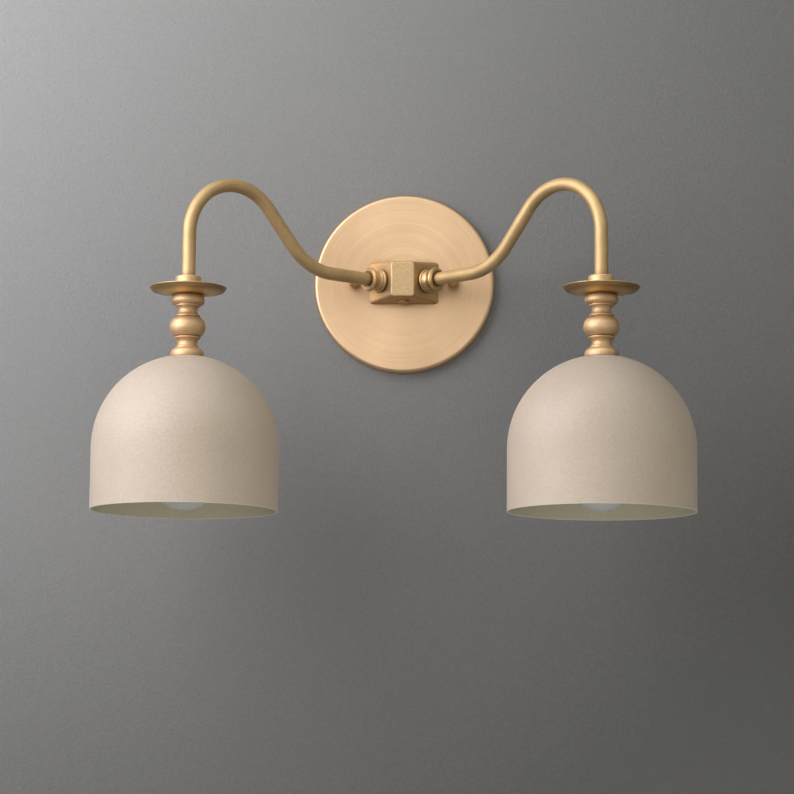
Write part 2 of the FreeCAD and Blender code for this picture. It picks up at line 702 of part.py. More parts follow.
def make_hub_screws():
    pieces = []
    for side, sign in SIDES:
        for level, up in (("lower", -1), ("upper", 1)):
            name = "%s_%s_hub_screw" % (level, side)
            place_x = size.boss_offset_x * sign
            place_z = size.boss_offset_z * up
            pieces.append(rod(name, size.hub_screw_dia / 2, size.plate_wall + size.hub_screw_reach,
                              place_x, plate_inside, place_z))
            pieces.append(rod(name + "_head", size.hub_screw_head_dia / 2, size.hub_screw_head_height,
                              place_x, plate_inside - size.hub_screw_head_height, place_z))
    keep(joined("hub_screws", pieces))


def make_wire_grommet():
    bore = size.grommet_bore_dia / 2
    waist = size.wire_hole_dia / 2 - size.fit_gap
    flange = size.grommet_flange_dia / 2
    back = plate_inside - size.grommet_flange
    front = size.plate_depth + size.grommet_flange
    grommet = turned("wire_grommet", [
        (bore, back), (flange, back), (flange, plate_inside), (waist, plate_inside),
        (waist, size.plate_depth), (flange, size.plate_depth), (flange, front), (bore, front),
    ], "Y")
    keep(place_from_wall(grommet))


# ---------------------------------------------------------------------------------------------
# The arms: coupling, nut, tube
# ---------------------------------------------------------------------------------------------
def make_arm_coupling(side, sign):
    wireway = size.coupling_wire_dia / 2
    stub = size.coupling_stub_dia / 2
    socket = size.tube_dia / 2 + size.fit_gap
    ring = size.coupling_ring_dia / 2
    step = size.coupling_step_dia / 2
    crown = size.coupling_ring_crown
    ring_radius = arc_radius(ZERO, size.coupling_ring_width, crown)
    cove_start = size.coupling_ring_width + size.coupling_step_width
    ring_end = size.coupling_length - size.coupling_end_width
    ring_start = ring_end - size.coupling_ring_width
    cove_end = ring_start - size.coupling_step_width
    cove_radius = arc_radius(ZERO, cove_end - cove_start, size.coupling_cove_depth)
    rim = socket + size.coupling_rim_gap
    rim_floor = size.coupling_length - size.coupling_rim_depth
    coupling = turned(side + "_arm_coupling", [
        (wireway, -size.coupling_stub_length), (stub, -size.coupling_stub_length), (stub, ZERO),
        (ring - crown, ZERO), (ring - crown, size.coupling_ring_width, ring_radius, LEFT),
        (step, size.coupling_ring_width), (step, cove_start), (step, cove_end, cove_radius, RIGHT),
        (step, ring_start), (ring - crown, ring_start), (ring - crown, ring_end, ring_radius, LEFT),
        (step, ring_end), (step, size.coupling_length), (rim, size.coupling_length), (rim, rim_floor),
        (socket, rim_floor), (socket, tube_start), (wireway, tube_start),
    ], "X")
    keep(place_on_arm(coupling, sign))


def make_coupling_nut(side, sign):
    body = new_body(side + "_coupling_nut")
    outline = new_sketch(body, "YZ_Plane", side + "_coupling_nut_outline",
                         -(size.hub_side_wall + size.coupling_nut_height))
    draw_hexagon(outline, size.coupling_nut_flats)
    draw_circle(outline, size.coupling_stub_dia / 2 + size.fit_gap)
    pad(body, outline, size.coupling_nut_height)
    keep(place_on_arm(body, sign))


def make_arm_tube(side, sign):
    body = new_body(side + "_arm_tube")
    path = new_sketch(body, "XZ_Plane", side + "_arm_path")
    draw(path, [
        (tube_start, ZERO), (size.arm_first_run, ZERO),
        (low_bend_end, low_bend_height, size.arm_low_radius, LEFT), (rise_end, rise_height),
        (arm_reach - size.arm_top_radius, arch_height + size.arm_top_radius, size.arm_top_radius, RIGHT),
        (arm_reach, arch_height, size.arm_top_radius, RIGHT), (arm_reach, tube_end_z),
    ], closed=False)
    section = new_sketch(body, "YZ_Plane", side + "_arm_section", tube_start)
    draw_circle(section, size.tube_dia / 2)
    draw_circle(section, size.tube_dia / 2 - size.tube_wall)
    pipe = body.newObject("PartDesign::AdditivePipe", side + "_arm_pipe")
    pipe.Profile = section
    pipe.Spine = (path, ["Edge%d" % number for number in range(1, path.GeometryCount + 1)])
    keep(place_on_arm(body, sign))


# ---------------------------------------------------------------------------------------------
# Over each shade: collar, saucer, neck, nipple
# ---------------------------------------------------------------------------------------------
def make_collar(side, sign):
    bore = size.tube_dia / 2 + size.fit_gap
    outside = size.collar_dia / 2
    shoulder = size.collar_shoulder
    top = size.collar_height
    collar = turned(side + "_collar", [
        (bore, ZERO), (outside, ZERO), (outside, top - shoulder),
        (outside - shoulder, top, shoulder, LEFT), (bore, top),
    ], "Z")
    keep(place_on_shade_axis(collar, sign, saucer_top_z))


def make_saucer(side, sign):
    bore = size.tube_dia / 2 + size.fit_gap
    seat = size.saucer_seat_dia / 2
    crease = size.saucer_crease_dia / 2
    lip = size.saucer_dia / 2
    edge = size.saucer_lip_edge
    lip_run = lip - crease
    lip_rise = size.saucer_depth - edge - size.saucer_crease_height
    lip_slope = root(lip_run * lip_run + lip_rise * lip_rise)
    # the sheet's thickness, measured level across the sloping lip
    lip_wall = size.saucer_sheet * lip_slope / lip_rise
    inner_crease = crease - lip_run * size.saucer_sheet / lip_rise + lip_wall * 0.5
    saucer = turned(side + "_bobeche", [
        (bore, ZERO), (seat, ZERO), (crease, size.saucer_crease_height),
        (lip, size.saucer_depth - edge), (lip - edge, size.saucer_depth, edge, LEFT),
        (lip - lip_wall, size.saucer_depth - edge * 0.5),
        (inner_crease - lip_wall * 0.5, size.saucer_crease_height + size.saucer_sheet),
        (seat, size.saucer_sheet), (bore, size.saucer_sheet),
    ], "Z")
    keep(place_on_shade_axis(saucer, sign, neck_top_z))


def make_neck(side, sign):
    """The turned neck, from its foot on the shade up to its flat top under the saucer."""
    foot = size.neck_foot_dia / 2
    foot_top = size.neck_foot_top_dia / 2
    lower_fillet = size.neck_lower_fillet_dia / 2
    upper_fillet = size.neck_upper_fillet_dia / 2
    lower_bead = size.neck_lower_bead_dia / 2 - size.neck_bead_crown
    upper_bead = size.neck_upper_bead_dia / 2 - size.neck_bead_crown
    ball = size.neck_ball_dia / 2
    ball_end = size.neck_ball_end_dia / 2
    ring = size.neck_ring_dia / 2
    top_flat = size.neck_top_dia / 2
    quirk = size.neck_quirk
    wireway = size.neck_wire_dia / 2
    nipple_hole = size.nipple_dia / 2 + size.fit_gap
    tube_hole = size.tube_dia / 2 + size.fit_gap

    foot_end = size.neck_foot_height
    cove_a = foot_end + size.neck_fillet_height
    bead_a = cove_a + size.neck_lower_cove_height
    ball_a = bead_a + size.neck_bead_height
    bead_b = ball_a + size.neck_ball_height
    cove_b = bead_b + size.neck_bead_height
    fillet_b = cove_b + size.neck_upper_cove_height
    ring_a = fillet_b + size.neck_fillet_height
    # the ring's underside is a quarter circle, its upper side a longer curve to the flat top
    ring_middle = ring_a + (ring - upper_fillet)
    ball_middle = ball_a + size.neck_ball_height / 2
    bead_radius = arc_radius(ZERO, size.neck_bead_height, size.neck_bead_crown)
    lower_cove_across = (size.neck_lower_bead_dia - size.neck_lower_fillet_dia) / 2
    upper_cove_across = (size.neck_upper_bead_dia - size.neck_upper_fillet_dia) / 2
    neck = turned(side + "_neck", [
        (nipple_hole, ZERO), (foot, ZERO), (foot, size.neck_foot_band),
        (foot_top, foot_end, quarter_radius(foot - foot_top, foot_end - size.neck_foot_band), LEFT),
        (lower_fillet, foot_end), (lower_fillet, cove_a), (lower_fillet - quirk, cove_a),
        (size.neck_lower_bead_dia / 2 - quirk, bead_a,
         arc_radius(lower_cove_across, size.neck_lower_cove_height, size.neck_lower_cove_depth), RIGHT),
        (lower_bead, bead_a), (lower_bead, ball_a, bead_radius, LEFT), (ball_end, ball_a),
        (ball, ball_middle,
         quarter_radius(ball - ball_end, size.neck_ball_height / 2), LEFT),
        (ball_end, bead_b,
         quarter_radius(ball - ball_end, size.neck_ball_height / 2), LEFT),
        (upper_bead, bead_b), (upper_bead, cove_b, bead_radius, LEFT),
        (size.neck_upper_bead_dia / 2 - quirk, cove_b),
        (upper_fillet - quirk, fillet_b,
         arc_radius(upper_cove_across, size.neck_upper_cove_height, size.neck_upper_cove_depth), RIGHT),
        (upper_fillet, fillet_b), (upper_fillet, ring_a), (ring, ring_middle, ring - upper_fillet, LEFT),
        (top_flat, neck_height, quarter_radius(ring - top_flat, neck_height - ring_middle), LEFT),
        (tube_hole, neck_height), (tube_hole, neck_height - size.tube_neck_depth),
        (wireway, neck_height - size.tube_neck_depth), (wireway, size.nipple_neck_depth),
        (nipple_hole, size.nipple_neck_depth),
    ], "Z")
    keep(place_on_shade_axis(neck, sign, shade_seat_z))


def make_nipple(side, sign):
    bore = size.nipple_bore_dia / 2
    outside = size.nipple_dia / 2
    nipple = turned(side + "_neck_nipple", [
        (bore, ZERO), (outside, ZERO), (outside, nipple_length), (bore, nipple_length),
    ], "Z")
    keep(place_on_shade_axis(nipple, sign, nut_under_z - size.nipple_cap_depth))


# ---------------------------------------------------------------------------------------------
# The shade, and the washer and nut that clamp it
# ---------------------------------------------------------------------------------------------
def make_shade(side, sign):
    outside = size.shade_dia / 2
    inside = outside - size.shade_sheet
    hole = size.nipple_dia / 2 + size.fit_gap
    flat = size.shade_flat_dia / 2
    top = size.shade_height
    # the dome is half a ball whose middle is this far over the rim
    middle = top - root(outside * outside - flat * flat)
    dome_rise = top - size.shade_sheet - middle
    inner_flat = root(inside * inside - dome_rise * dome_rise)
    shade = turned(side + "_shade", [
        (outside, ZERO), (outside, middle), (flat, top, outside, LEFT), (hole, top),
        (hole, top - size.shade_sheet), (inner_flat, top - size.shade_sheet),
        (inside, middle, inside, RIGHT), (inside, ZERO),
    ], "Z")
    keep(place_on_shade_axis(shade, sign, shade_seat_z - size.shade_height))


def make_shade_washer(side, sign):
    bore = size.nipple_dia / 2 + size.fit_gap
    outside = size.washer_dia / 2
    washer = turned(side + "_shade_washer", [
        (bore, ZERO), (outside, ZERO), (outside, size.washer_sheet), (bore, size.washer_sheet),
    ], "Z")
    keep(place_on_shade_axis(washer, sign, washer_under_z))


def make_shade_nut(side, sign):
    body = new_body(side + "_shade_nut")
    outline = new_sketch(body, "XY_Plane", side + "_shade_nut_outline")
    draw_hexagon(outline, size.shade_nut_flats)
    draw_circle(outline, size.nipple_dia / 2 + size.fit_gap)
    pad(body, outline, size.shade_nut_height)
    keep(place_on_shade_axis(body, sign, nut_under_z))


# ---------------------------------------------------------------------------------------------
# The lampholder: cap, body, screw shell, centre contact
# ---------------------------------------------------------------------------------------------
def make_lampholder_cap(side, sign):
    bore = size.nipple_dia / 2 + size.fit_gap
    boss = bore + size.holder_boss_wall
    boss_end = size.holder_cap_height - size.nipple_cap_depth
    outside = size.holder_dia / 2
    inside = outside - size.holder_cap_wall
    top_flat = size.holder_cap_top_dia / 2
    band = size.holder_cap_band
    top = size.holder_cap_height
    roof = top - size.holder_cap_wall
    crown = size.holder_cap_crown
    cap = turned(side + "_lampholder_cap", [
        (bore, boss_end), (boss, boss_end), (boss, roof), (top_flat, roof),
        (inside, ZERO, arc_radius(inside - top_flat, roof, crown), RIGHT), (outside, ZERO),
        (outside, band), (top_flat, top, arc_radius(outside - top_flat, top - band, crown), LEFT),
        (bore, top),
    ], "Z")
    keep(place_on_shade_axis(cap, sign, holder_top_z))


def make_lampholder_body(side, sign):
    outside = size.holder_dia / 2
    inside = outside - size.holder_wall
    rivet_hole = size.contact_rivet_dia / 2 + size.fit_gap
    top = size.holder_height
    web = top - size.holder_web
    rivet_top = web + size.contact_rivet_length
    body = turned(side + "_lampholder_body", [
        (inside, ZERO), (outside, ZERO), (outside, top), (ZERO, top), (ZERO, rivet_top),
        (rivet_hole, rivet_top), (rivet_hole, web), (inside, web),
    ], "Z")
    keep(place_on_shade_axis(body, sign, holder_top_z - size.holder_height))


def thread_outline(crest, depth, start, turns):
    """Corners of a thread's rings, from 'start' up: a root and a crest in each turn."""
    corners = []
    for turn in range(turns):
        corners.append((crest - depth, start + size.thread_pitch * turn))
        corners.append((crest, start + size.thread_pitch * (turn + 0.5)))
    corners.append((crest - depth, start + size.thread_pitch * turns))
    return corners


def make_screw_shell(side, sign):
    """The shell's inside carries the thread as rings; its wall follows them."""
    sheet_wall = size.shell_sheet
    root_radius = shell_crest + size.thread_depth
    turns = int((size.shell_height.number - sheet_wall.number * 2) / size.thread_pitch.number)
    hole = size.shell_hole_dia / 2
    top = size.shell_height
    inner = thread_outline(root_radius, size.thread_depth, ZERO, turns)
    outer = thread_outline(root_radius + sheet_wall, size.thread_depth, ZERO, turns)
    shell = turned(side + "_screw_shell", outer + [
        (shell_crest + sheet_wall, top), (hole, top), (hole, top - sheet_wall),
        (shell_crest, top - sheet_wall),
    ] + inner[::-1], "Z")
    keep(place_on_shade_axis(shell, sign, web_under_z - size.shell_height))


def make_centre_contact(side, sign):
    """A strip under the web that folds back under itself, with a rivet up into the web."""
    sheet_wall = size.contact_sheet
    half = size.contact_length / 2
    drop = size.contact_drop
    body = new_body(side + "_centre_contact")
    strip = new_sketch(body, "XZ_Plane", side + "_contact_strip")
    draw(strip, [
        (-half, drop), (-half, ZERO), (half, ZERO), (half, sheet_wall),
        (-half + sheet_wall, sheet_wall), (-half + sheet_wall, drop - sheet_wall),
        (half, drop - sheet_wall), (half, drop),
    ])
    pad(body, strip, size.contact_width, middle=True)
    rivet = new_sketch(body, "XY_Plane", side + "_contact_rivet", drop)
    draw_circle(rivet, size.contact_rivet_dia / 2)
    pad(body, rivet, size.contact_rivet_length)
    keep(place_on_shade_axis(body, sign, web_under_z - size.contact_drop))


# ---------------------------------------------------------------------------------------------
# The bulb, from its round end up: glass, cap, insulator, contact
# ---------------------------------------------------------------------------------------------
def flank_radius(across, up):
    """Radius of the flank that leaves the ball smoothly and moves in by 'across' over 'up'."""
    slant = up * sine(size.bulb_flare_angle) - across * cosine(size.bulb_flare_angle)
    return (across * across + up * up) / (slant * 2)


def make_bulb_glass(side, sign):
    ball = size.bulb_dia / 2
    hollow = ball - size.bulb_glass_wall
    neck = size.bulb_neck_dia / 2
    plug = bulb_cap_root - size.bulb_cap_sheet - size.fit_gap
    wall = size.bulb_glass_wall
    flare_out = ball * cosine(size.bulb_flare_angle)
    flare_up = ball + ball * sine(size.bulb_flare_angle)
    inner_out = hollow * cosine(size.bulb_flare_angle)
    inner_up = ball + hollow * sine(size.bulb_flare_angle)
    inner_neck_up = bulb_cap_start - wall
    plug_end = bulb_cap_start + size.bulb_plug_length
    glass = turned(side + "_bulb_glass", [
        (ZERO, ZERO), (ball, ball, ball, LEFT), (flare_out, flare_up, ball, LEFT),
        (neck, bulb_cap_start, flank_radius(flare_out - neck, bulb_cap_start - flare_up), RIGHT),
        (plug, bulb_cap_start), (plug, plug_end), (plug - wall, plug_end), (plug - wall, bulb_cap_start),
        (neck - wall, inner_neck_up),
        (inner_out, inner_up,
         flank_radius(inner_out - (neck - wall), inner_neck_up - inner_up), LEFT),
        (hollow, ball, hollow, RIGHT), (ZERO, wall, hollow, RIGHT),
    ], "Z")
    keep(place_on_shade_axis(glass, sign, bulb_end_z))


def make_bulb_cap(side, sign):
    wall = size.bulb_cap_sheet
    crest = size.bulb_cap_dia / 2
    hole = size.bulb_cap_hole_dia / 2
    turns = int((size.bulb_cap_height.number - size.bulb_plug_length.number) / size.thread_pitch.number)
    top = bulb_cap_end
    start = bulb_cap_start + size.bulb_plug_length
    outer = thread_outline(crest, size.thread_depth, start, turns)
    inner = thread_outline(crest - wall, size.thread_depth, start, turns)
    cap = turned(side + "_bulb_cap", [
        (bulb_cap_root - wall, bulb_cap_start), (bulb_cap_root, bulb_cap_start),
    ] + outer + [
        (bulb_cap_root, top), (hole, top), (hole, top - wall), (bulb_cap_root - wall, top - wall),
    ] + inner[::-1], "Z")
    keep(place_on_shade_axis(cap, sign, bulb_end_z))


def make_bulb_insulator(side, sign):
    spigot = size.bulb_cap_hole_dia / 2 - size.fit_gap
    stem_hole = size.bulb_tip_stem_dia / 2 + size.fit_gap
    seat = bulb_cap_end
    top = seat + size.bulb_insulator_height
    start = seat - size.bulb_cap_sheet
    insulator = turned(side + "_bulb_insulator", [
        (stem_hole, start), (spigot, start), (spigot, seat), (size.bulb_insulator_dia / 2, seat),
        (size.bulb_insulator_top_dia / 2, top), (stem_hole, top),
    ], "Z")
    keep(place_on_shade_axis(insulator, sign, bulb_end_z))


def make_bulb_contact(side, sign):
    stem = size.bulb_tip_stem_dia / 2
    tip = size.bulb_tip_dia / 2
    seat = bulb_cap_end + size.bulb_insulator_height
    contact = turned(side + "_bulb_contact", [
        (ZERO, bulb_cap_end), (stem, bulb_cap_end), (stem, seat), (tip, seat),
        (ZERO, size.bulb_length, quarter_radius(size.bulb_tip_height, tip), LEFT),
    ], "Z")
    keep(place_on_shade_axis(contact, sign, bulb_end_z))


# ---------------------------------------------------------------------------------------------
# The wires: from the lampholder's top through the neck and the arm to the wall
# ---------------------------------------------------------------------------------------------
def make_wire(label, side, sign, offset):
    """One wire of a pair: 'offset' is over the arm's middle line on its level run."""
    bend = size.wire_bend_radius.number
    angle = math.radians(90 - size.arm_angle.number)
    # the bend in the hub turns the wire from the arm's axis to straight at the wall
    bend_end_y = size.wire_exit.number + bend * (1 - math.cos(angle))
    bend_start = (bend_end_y - arm_root_x.number) / math.cos(math.radians(size.arm_angle.number))
    wall_end = -arm_root_y.number - size.wire_end_gap.number
    low = size.arm_low_radius.number - offset
    top = size.arm_top_radius.number + offset
    rise = math.radians(size.arm_rise_angle.number)
    low_middle = Vector(size.arm_first_run.number, 0, size.arm_low_radius.number)
    top_middle = Vector((arm_reach - size.arm_top_radius).number, 0, arch_height.number)

    def on_low_bend(turn):
        return low_middle + Vector(low * math.sin(turn), 0, -low * math.cos(turn))

    def on_arch(turn):
        return top_middle + Vector(-top * math.sin(turn), 0, top * math.cos(turn))

    def in_hub(turn):
        out = bend_start - bend * math.sin(turn)
        return Vector(out, sign * bend * (1 - math.cos(turn)), offset)

    # the direction straight at the wall, in the arm's own frame
    at_wall = Vector(-math.cos(angle), sign * math.sin(angle), 0)
    bend_end = in_hub(angle)
    reached = (-bend_end.x) * math.sin(math.radians(size.arm_angle.number))
    reached += bend_end.y * sign * math.cos(math.radians(size.arm_angle.number))
    last = bend_end + at_wall * (wall_end - reached)
    holder = Vector(arm_reach.number + offset, 0, holder_top_z.number)
    quarter = math.radians(90)
    edges = [
        Part.LineSegment(holder, on_arch(-quarter)),
        Part.Arc(on_arch(-quarter), on_arch(-quarter / 2), on_arch(0)),
        Part.Arc(on_arch(0), on_arch(rise / 2), on_arch(rise)),
        Part.LineSegment(on_arch(rise), on_low_bend(rise)),
        Part.Arc(on_low_bend(rise), on_low_bend(rise / 2), on_low_bend(0)),
        Part.LineSegment(on_low_bend(0), in_hub(0)),
        Part.Arc(in_hub(0), in_hub(angle / 2), in_hub(angle)),
        Part.LineSegment(bend_end, last),
    ]
    path = Part.Wire([edge.toShape() for edge in edges])
    radius = size.wire_dia.number / 2
    section = Part.Wire([Part.Circle(holder, Vector(0, 0, 1), radius).toShape()])
    wire = doc.addObject("Part::Feature", label)
    wire.Label = label
    wire.Shape = path.makePipeShell([section], True, False)
    whole = math.pi * radius * radius * path.Length
    print("%s: volume %.3f of %.3f" % (label, wire.Shape.Volume, whole))
    keep(place_on_arm(wire, sign))


# ---------------------------------------------------------------------------------------------
# The whole fixture
# ---------------------------------------------------------------------------------------------
make_mounting_strap()
make_strap_studs()
make_ground_screw()
make_backplate()
for side, sign in SIDES:
    make_cap_nut(side, sign)
make_hub()
make_hub_plug()
make_hub_screws()
make_wire_grommet()
for side, sign in SIDES:
    make_arm_coupling(side, sign)
    make_coupling_nut(side, sign)
    make_arm_tube(side, sign)
    make_collar(side, sign)
    make_saucer(side, sign)
    make_neck(side, sign)
    make_nipple(side, sign)
    make_shade(side, sign)
    make_shade_washer(side, sign)
    make_shade_nut(side, sign)
    make_lampholder_cap(side, sign)
    make_lampholder_body(side, sign)
    make_screw_shell(side, sign)
    make_centre_contact(side, sign)
    make_bulb_glass(side, sign)
    make_bulb_cap(side, sign)
    make_bulb_insulator(side, sign)
    make_bulb_contact(side, sign)
    make_wire(side + "_live_wire", side, sign, size.wire_offset.number)
    make_wire(side + "_neutral_wire", side, sign, -size.wire_offset.number)
doc.recompute()

for thing in doc.Objects:
    if "Invalid" in thing.State or "Error" in thing.State:
        raise RuntimeError("%s could not be built: %s" % (thing.Label, thing.State))
for thing in kept:
    if thing.Shape.isNull() or not thing.Shape.isValid():
        raise RuntimeError("%s is not a sound solid" % thing.Label)

tube = doc.getObject("right_arm_tube").Shape
turn = math.radians(size.arm_rise_angle.number)
tube_length = (
    size.arm_first_run.number - tube_start.number + size.arm_low_radius.number * turn
    + size.arm_rise_run.number + size.arm_top_radius.number * (turn + math.pi / 2)
    + arch_height.number - tube_end_z.number
)
bore_radius = size.tube_dia.number / 2 - size.tube_wall.number
section_area = math.pi * ((size.tube_dia.number / 2) ** 2 - bore_radius ** 2)
print("arm tube: volume %.2f of %.2f" % (tube.Volume, section_area * tube_length))

os.makedirs("parts", exist_ok=True)
for thing in kept:
    thing.Shape.exportStep("parts/%s.step" % thing.Label)
    box = thing.Shape.BoundBox
    print("%s: %d solid, %.1f mm3, x %.2f..%.2f y %.2f..%.2f z %.2f..%.2f" % (
        thing.Label, len(thing.Shape.Solids), thing.Shape.Volume,
        box.XMin, box.XMax, box.YMin, box.YMax, box.ZMin, box.ZMax))
print("%d pieces" % len(kept))
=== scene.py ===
import math

import bmesh
import bpy
from mathutils import Matrix, Vector


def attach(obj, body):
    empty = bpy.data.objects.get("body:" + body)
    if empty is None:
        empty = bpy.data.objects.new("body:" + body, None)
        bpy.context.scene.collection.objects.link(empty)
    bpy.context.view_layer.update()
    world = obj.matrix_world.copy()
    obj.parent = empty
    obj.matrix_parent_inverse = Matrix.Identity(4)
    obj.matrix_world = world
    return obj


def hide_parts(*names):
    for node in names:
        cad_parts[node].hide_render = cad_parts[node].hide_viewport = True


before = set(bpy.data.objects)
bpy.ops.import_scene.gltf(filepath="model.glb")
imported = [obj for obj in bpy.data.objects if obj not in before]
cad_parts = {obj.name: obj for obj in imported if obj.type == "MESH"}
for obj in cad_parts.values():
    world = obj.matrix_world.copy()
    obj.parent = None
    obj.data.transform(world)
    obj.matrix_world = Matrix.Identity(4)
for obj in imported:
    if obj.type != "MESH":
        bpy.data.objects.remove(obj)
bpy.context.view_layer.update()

# The mounting strap and the ground screw: pressed steel with a dull zinc coat, dyed green on the
# screw. The strap is screwed to the junction box and shows only from behind the hollow backplate.


def add(tree, kind, inputs=None, **settings):
    """One node of a finish, with its sockets set to values or linked to other nodes."""
    made = tree.nodes.new(kind)
    for key, value in settings.items():
        setattr(made, key, value)
    for key, value in (inputs or {}).items():
        if isinstance(value, bpy.types.NodeSocket):
            tree.links.new(value, made.inputs[key])
        else:
            made.inputs[key].default_value = value
    return made


def reckon(tree, kind, operation, *terms, output=0):
    """Arithmetic inside a finish: on values ('ShaderNodeMath') or on places ('ShaderNodeVectorMath')."""
    return add(tree, kind, dict(enumerate(terms)), operation=operation).outputs[output]


def new_finish(name):
    """An empty finish: its tree, its shader, and the place on the fixture as coordinates."""
    finish = bpy.data.materials.new(name)
    finish.use_nodes = True
    tree = finish.node_tree
    place = add(tree, "ShaderNodeTexCoord").outputs["Object"]
    return finish, tree, tree.nodes["Principled BSDF"], place


def noise(tree, place, scale, stretch=(1, 1, 1), detail=3.0, roughness=0.5):
    """Soft noise with 'scale' grains to the metre, drawn out along the axes by 'stretch'."""
    mapped = add(tree, "ShaderNodeMapping", {"Vector": place, "Scale": stretch})
    return add(tree, "ShaderNodeTexNoise", {
        "Vector": mapped.outputs["Vector"], "Scale": scale, "Detail": detail, "Roughness": roughness,
    }).outputs["Fac"]


def between(tree, value, low, high, start=0.3, end=0.7):
    """Turns noise, or any value from start to end, into a number that runs from low to high."""
    return add(tree, "ShaderNodeMapRange", {
        "Value": value, "From Min": start, "From Max": end, "To Min": low, "To Max": high,
    }).outputs["Result"]


def blend(tree, share, first, second):
    """A tone between two others: each is a colour, or the socket of one."""
    tones = [tone if isinstance(tone, bpy.types.NodeSocket) else (*tone, 1) for tone in (first, second)]
    return add(tree, "ShaderNodeMix", {"Factor": share, "A": tones[0], "B": tones[1]},
               data_type="RGBA").outputs["Result"]


def finish_surface(tree, shader, tone, roughness, relief=None, depth=0.0, strength=1.0):
    """Gives the shader its tone and roughness, and a relief that is 'depth' metres deep."""
    tree.links.new(tone, shader.inputs["Base Color"])
    tree.links.new(roughness, shader.inputs["Roughness"])
    if relief:
        bump = add(tree, "ShaderNodeBump", {"Height": relief, "Strength": strength, "Distance": depth})
        tree.links.new(bump.outputs["Normal"], shader.inputs["Normal"])


def zinc_finish(name, pale, dark, roughness):
    """Zinc plate: cloudy crystals, a little pitted."""
    finish, tree, shader, place = new_finish(name)
    crystals = noise(tree, place, scale=260, detail=6)
    pits = noise(tree, place, scale=2600)
    shader.inputs["Metallic"].default_value = 1.0
    finish_surface(tree, shader, blend(tree, between(tree, crystals, 0, 1), pale, dark),
                   between(tree, pits, roughness - 0.08, roughness + 0.1), pits, depth=0.00002)
    return finish


def clothe(node, finish):
    """Gives a CAD piece its finish and smooth shading over its small facets."""
    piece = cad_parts[node]
    if not piece.material_slots:
        piece.data.materials.append(None)
    for slot in piece.material_slots:
        slot.material = finish
    for face in piece.data.polygons:
        face.use_smooth = True
    smooth = piece.modifiers.new("smooth", "WEIGHTED_NORMAL")
    smooth.keep_sharp = True


zinc = zinc_finish("zinc_plate", pale=(0.58, 0.59, 0.60), dark=(0.42, 0.43, 0.45), roughness=0.38)
green_zinc = zinc_finish("green_ground_screw", pale=(0.05, 0.24, 0.09), dark=(0.03, 0.16, 0.06),
                         roughness=0.40)
clothe("mounting_strap", zinc)
clothe("ground_screw", green_zinc)

# The backplate: a round pan spun from brass sheet, brushed in rings on the lathe and left satin.
# The ball nuts on the strap's studs hold it to the wall.

MM = 0.001
PLATE_RADIUS, PLATE_DEPTH, PLATE_SHEET, PLATE_EDGE = 63.5, 6.35, 1.2, 2.6
WIRE_HOLE = 10.2
outer_bend, inner_bend = 0.76, 1.0


def turned_points(steps, soft=0.25, arc_steps=10):
    """The outline of a turned piece, in millimetres: (radius, height).

    A step with a third number is an arc to that corner that swells by that much, or sinks if the
    number is negative. The outline goes up the outside and down the bore. Corners are softened.
    """
    blunt_enough = 2.6  # a corner of more radians than this is part of an arc and stays as it is
    most_of_a_side = 0.45
    points = [Vector(steps[0][:2])]
    for step in steps[1:] + [steps[0][:2]]:
        start, end = points[-1], Vector(step[:2])
        rise = step[2] if len(step) == 3 else 0
        if rise:
            chord = end - start
            out = Vector((chord.y, -chord.x)).normalized()
            radius = (chord.length_squared / 4 + rise * rise) / (2 * abs(rise))
            sense = 1 if rise > 0 else -1
            centre = (start + end) / 2 + out * (rise - radius * sense)
            half = math.asin(min(1.0, chord.length / 2 / radius))
            for number in range(1, arc_steps):
                turn = -half + 2 * half * number / arc_steps
                way = out * math.cos(turn) * sense + chord.normalized() * math.sin(turn)
                points.append(centre + way * radius)
        points.append(end)
    points.pop()
    smooth = []
    for number, point in enumerate(points):
        back, ahead = points[number - 1] - point, points[(number + 1) % len(points)] - point
        on_axis = point.x < 1e-6
        if on_axis or back.length < 1e-6 or ahead.length < 1e-6 or back.angle(ahead) > blunt_enough:
            smooth.append(point)
            continue
        cut = min(soft, back.length * most_of_a_side, ahead.length * most_of_a_side)
        first, last = point + back.normalized() * cut, point + ahead.normalized() * cut
        for share in (0, 0.33, 0.67, 1):
            smooth.append((first * (1 - share) + point * share) * (1 - share)
                          + (point * (1 - share) + last * share) * share)
    return smooth


def finish_mesh(name, builder, finish):
    """Makes an object from a bmesh, smooth, with its finish."""
    bmesh.ops.remove_doubles(builder, verts=builder.verts, dist=1e-7)
    bmesh.ops.recalc_face_normals(builder, faces=builder.faces)
    for face in builder.faces:
        face.smooth = True
    mesh = bpy.data.meshes.new(name)
    builder.to_mesh(mesh)
    builder.free()
    piece = bpy.data.objects.new(name, mesh)
    bpy.context.scene.collection.objects.link(piece)
    piece.data.materials.append(finish)
    piece.modifiers.new("smooth", "WEIGHTED_NORMAL")
    return piece


def turn_piece(name, points, base, along, finish, rounds=96):
    """Turns an outline round the axis 'along' through 'base' (metres)."""
    along = Vector(along).normalized()
    side = along.orthogonal().normalized()
    other = along.cross(side)
    builder = bmesh.new()
    rings = []
    for point in points:
        middle = Vector(base) + along * point.y * MM
        ring = []
        for number in range(rounds if point.x > 1e-6 else 1):
            angle = 2 * math.pi * number / rounds
            ring.append(builder.verts.new(
                middle + (side * math.cos(angle) + other * math.sin(angle)) * point.x * MM))
        rings.append(ring)
    for first, second in zip(rings, rings[1:] + rings[:1]):
        for number in range(rounds):
            following = (number + 1) % rounds
            corners = []
            for corner in (first[number % len(first)], first[following % len(first)],
                           second[following % len(second)], second[number % len(second)]):
                if corner not in corners:
                    corners.append(corner)
            if len(corners) > 2:
                builder.faces.new(corners)
    return finish_mesh(name, builder, finish)


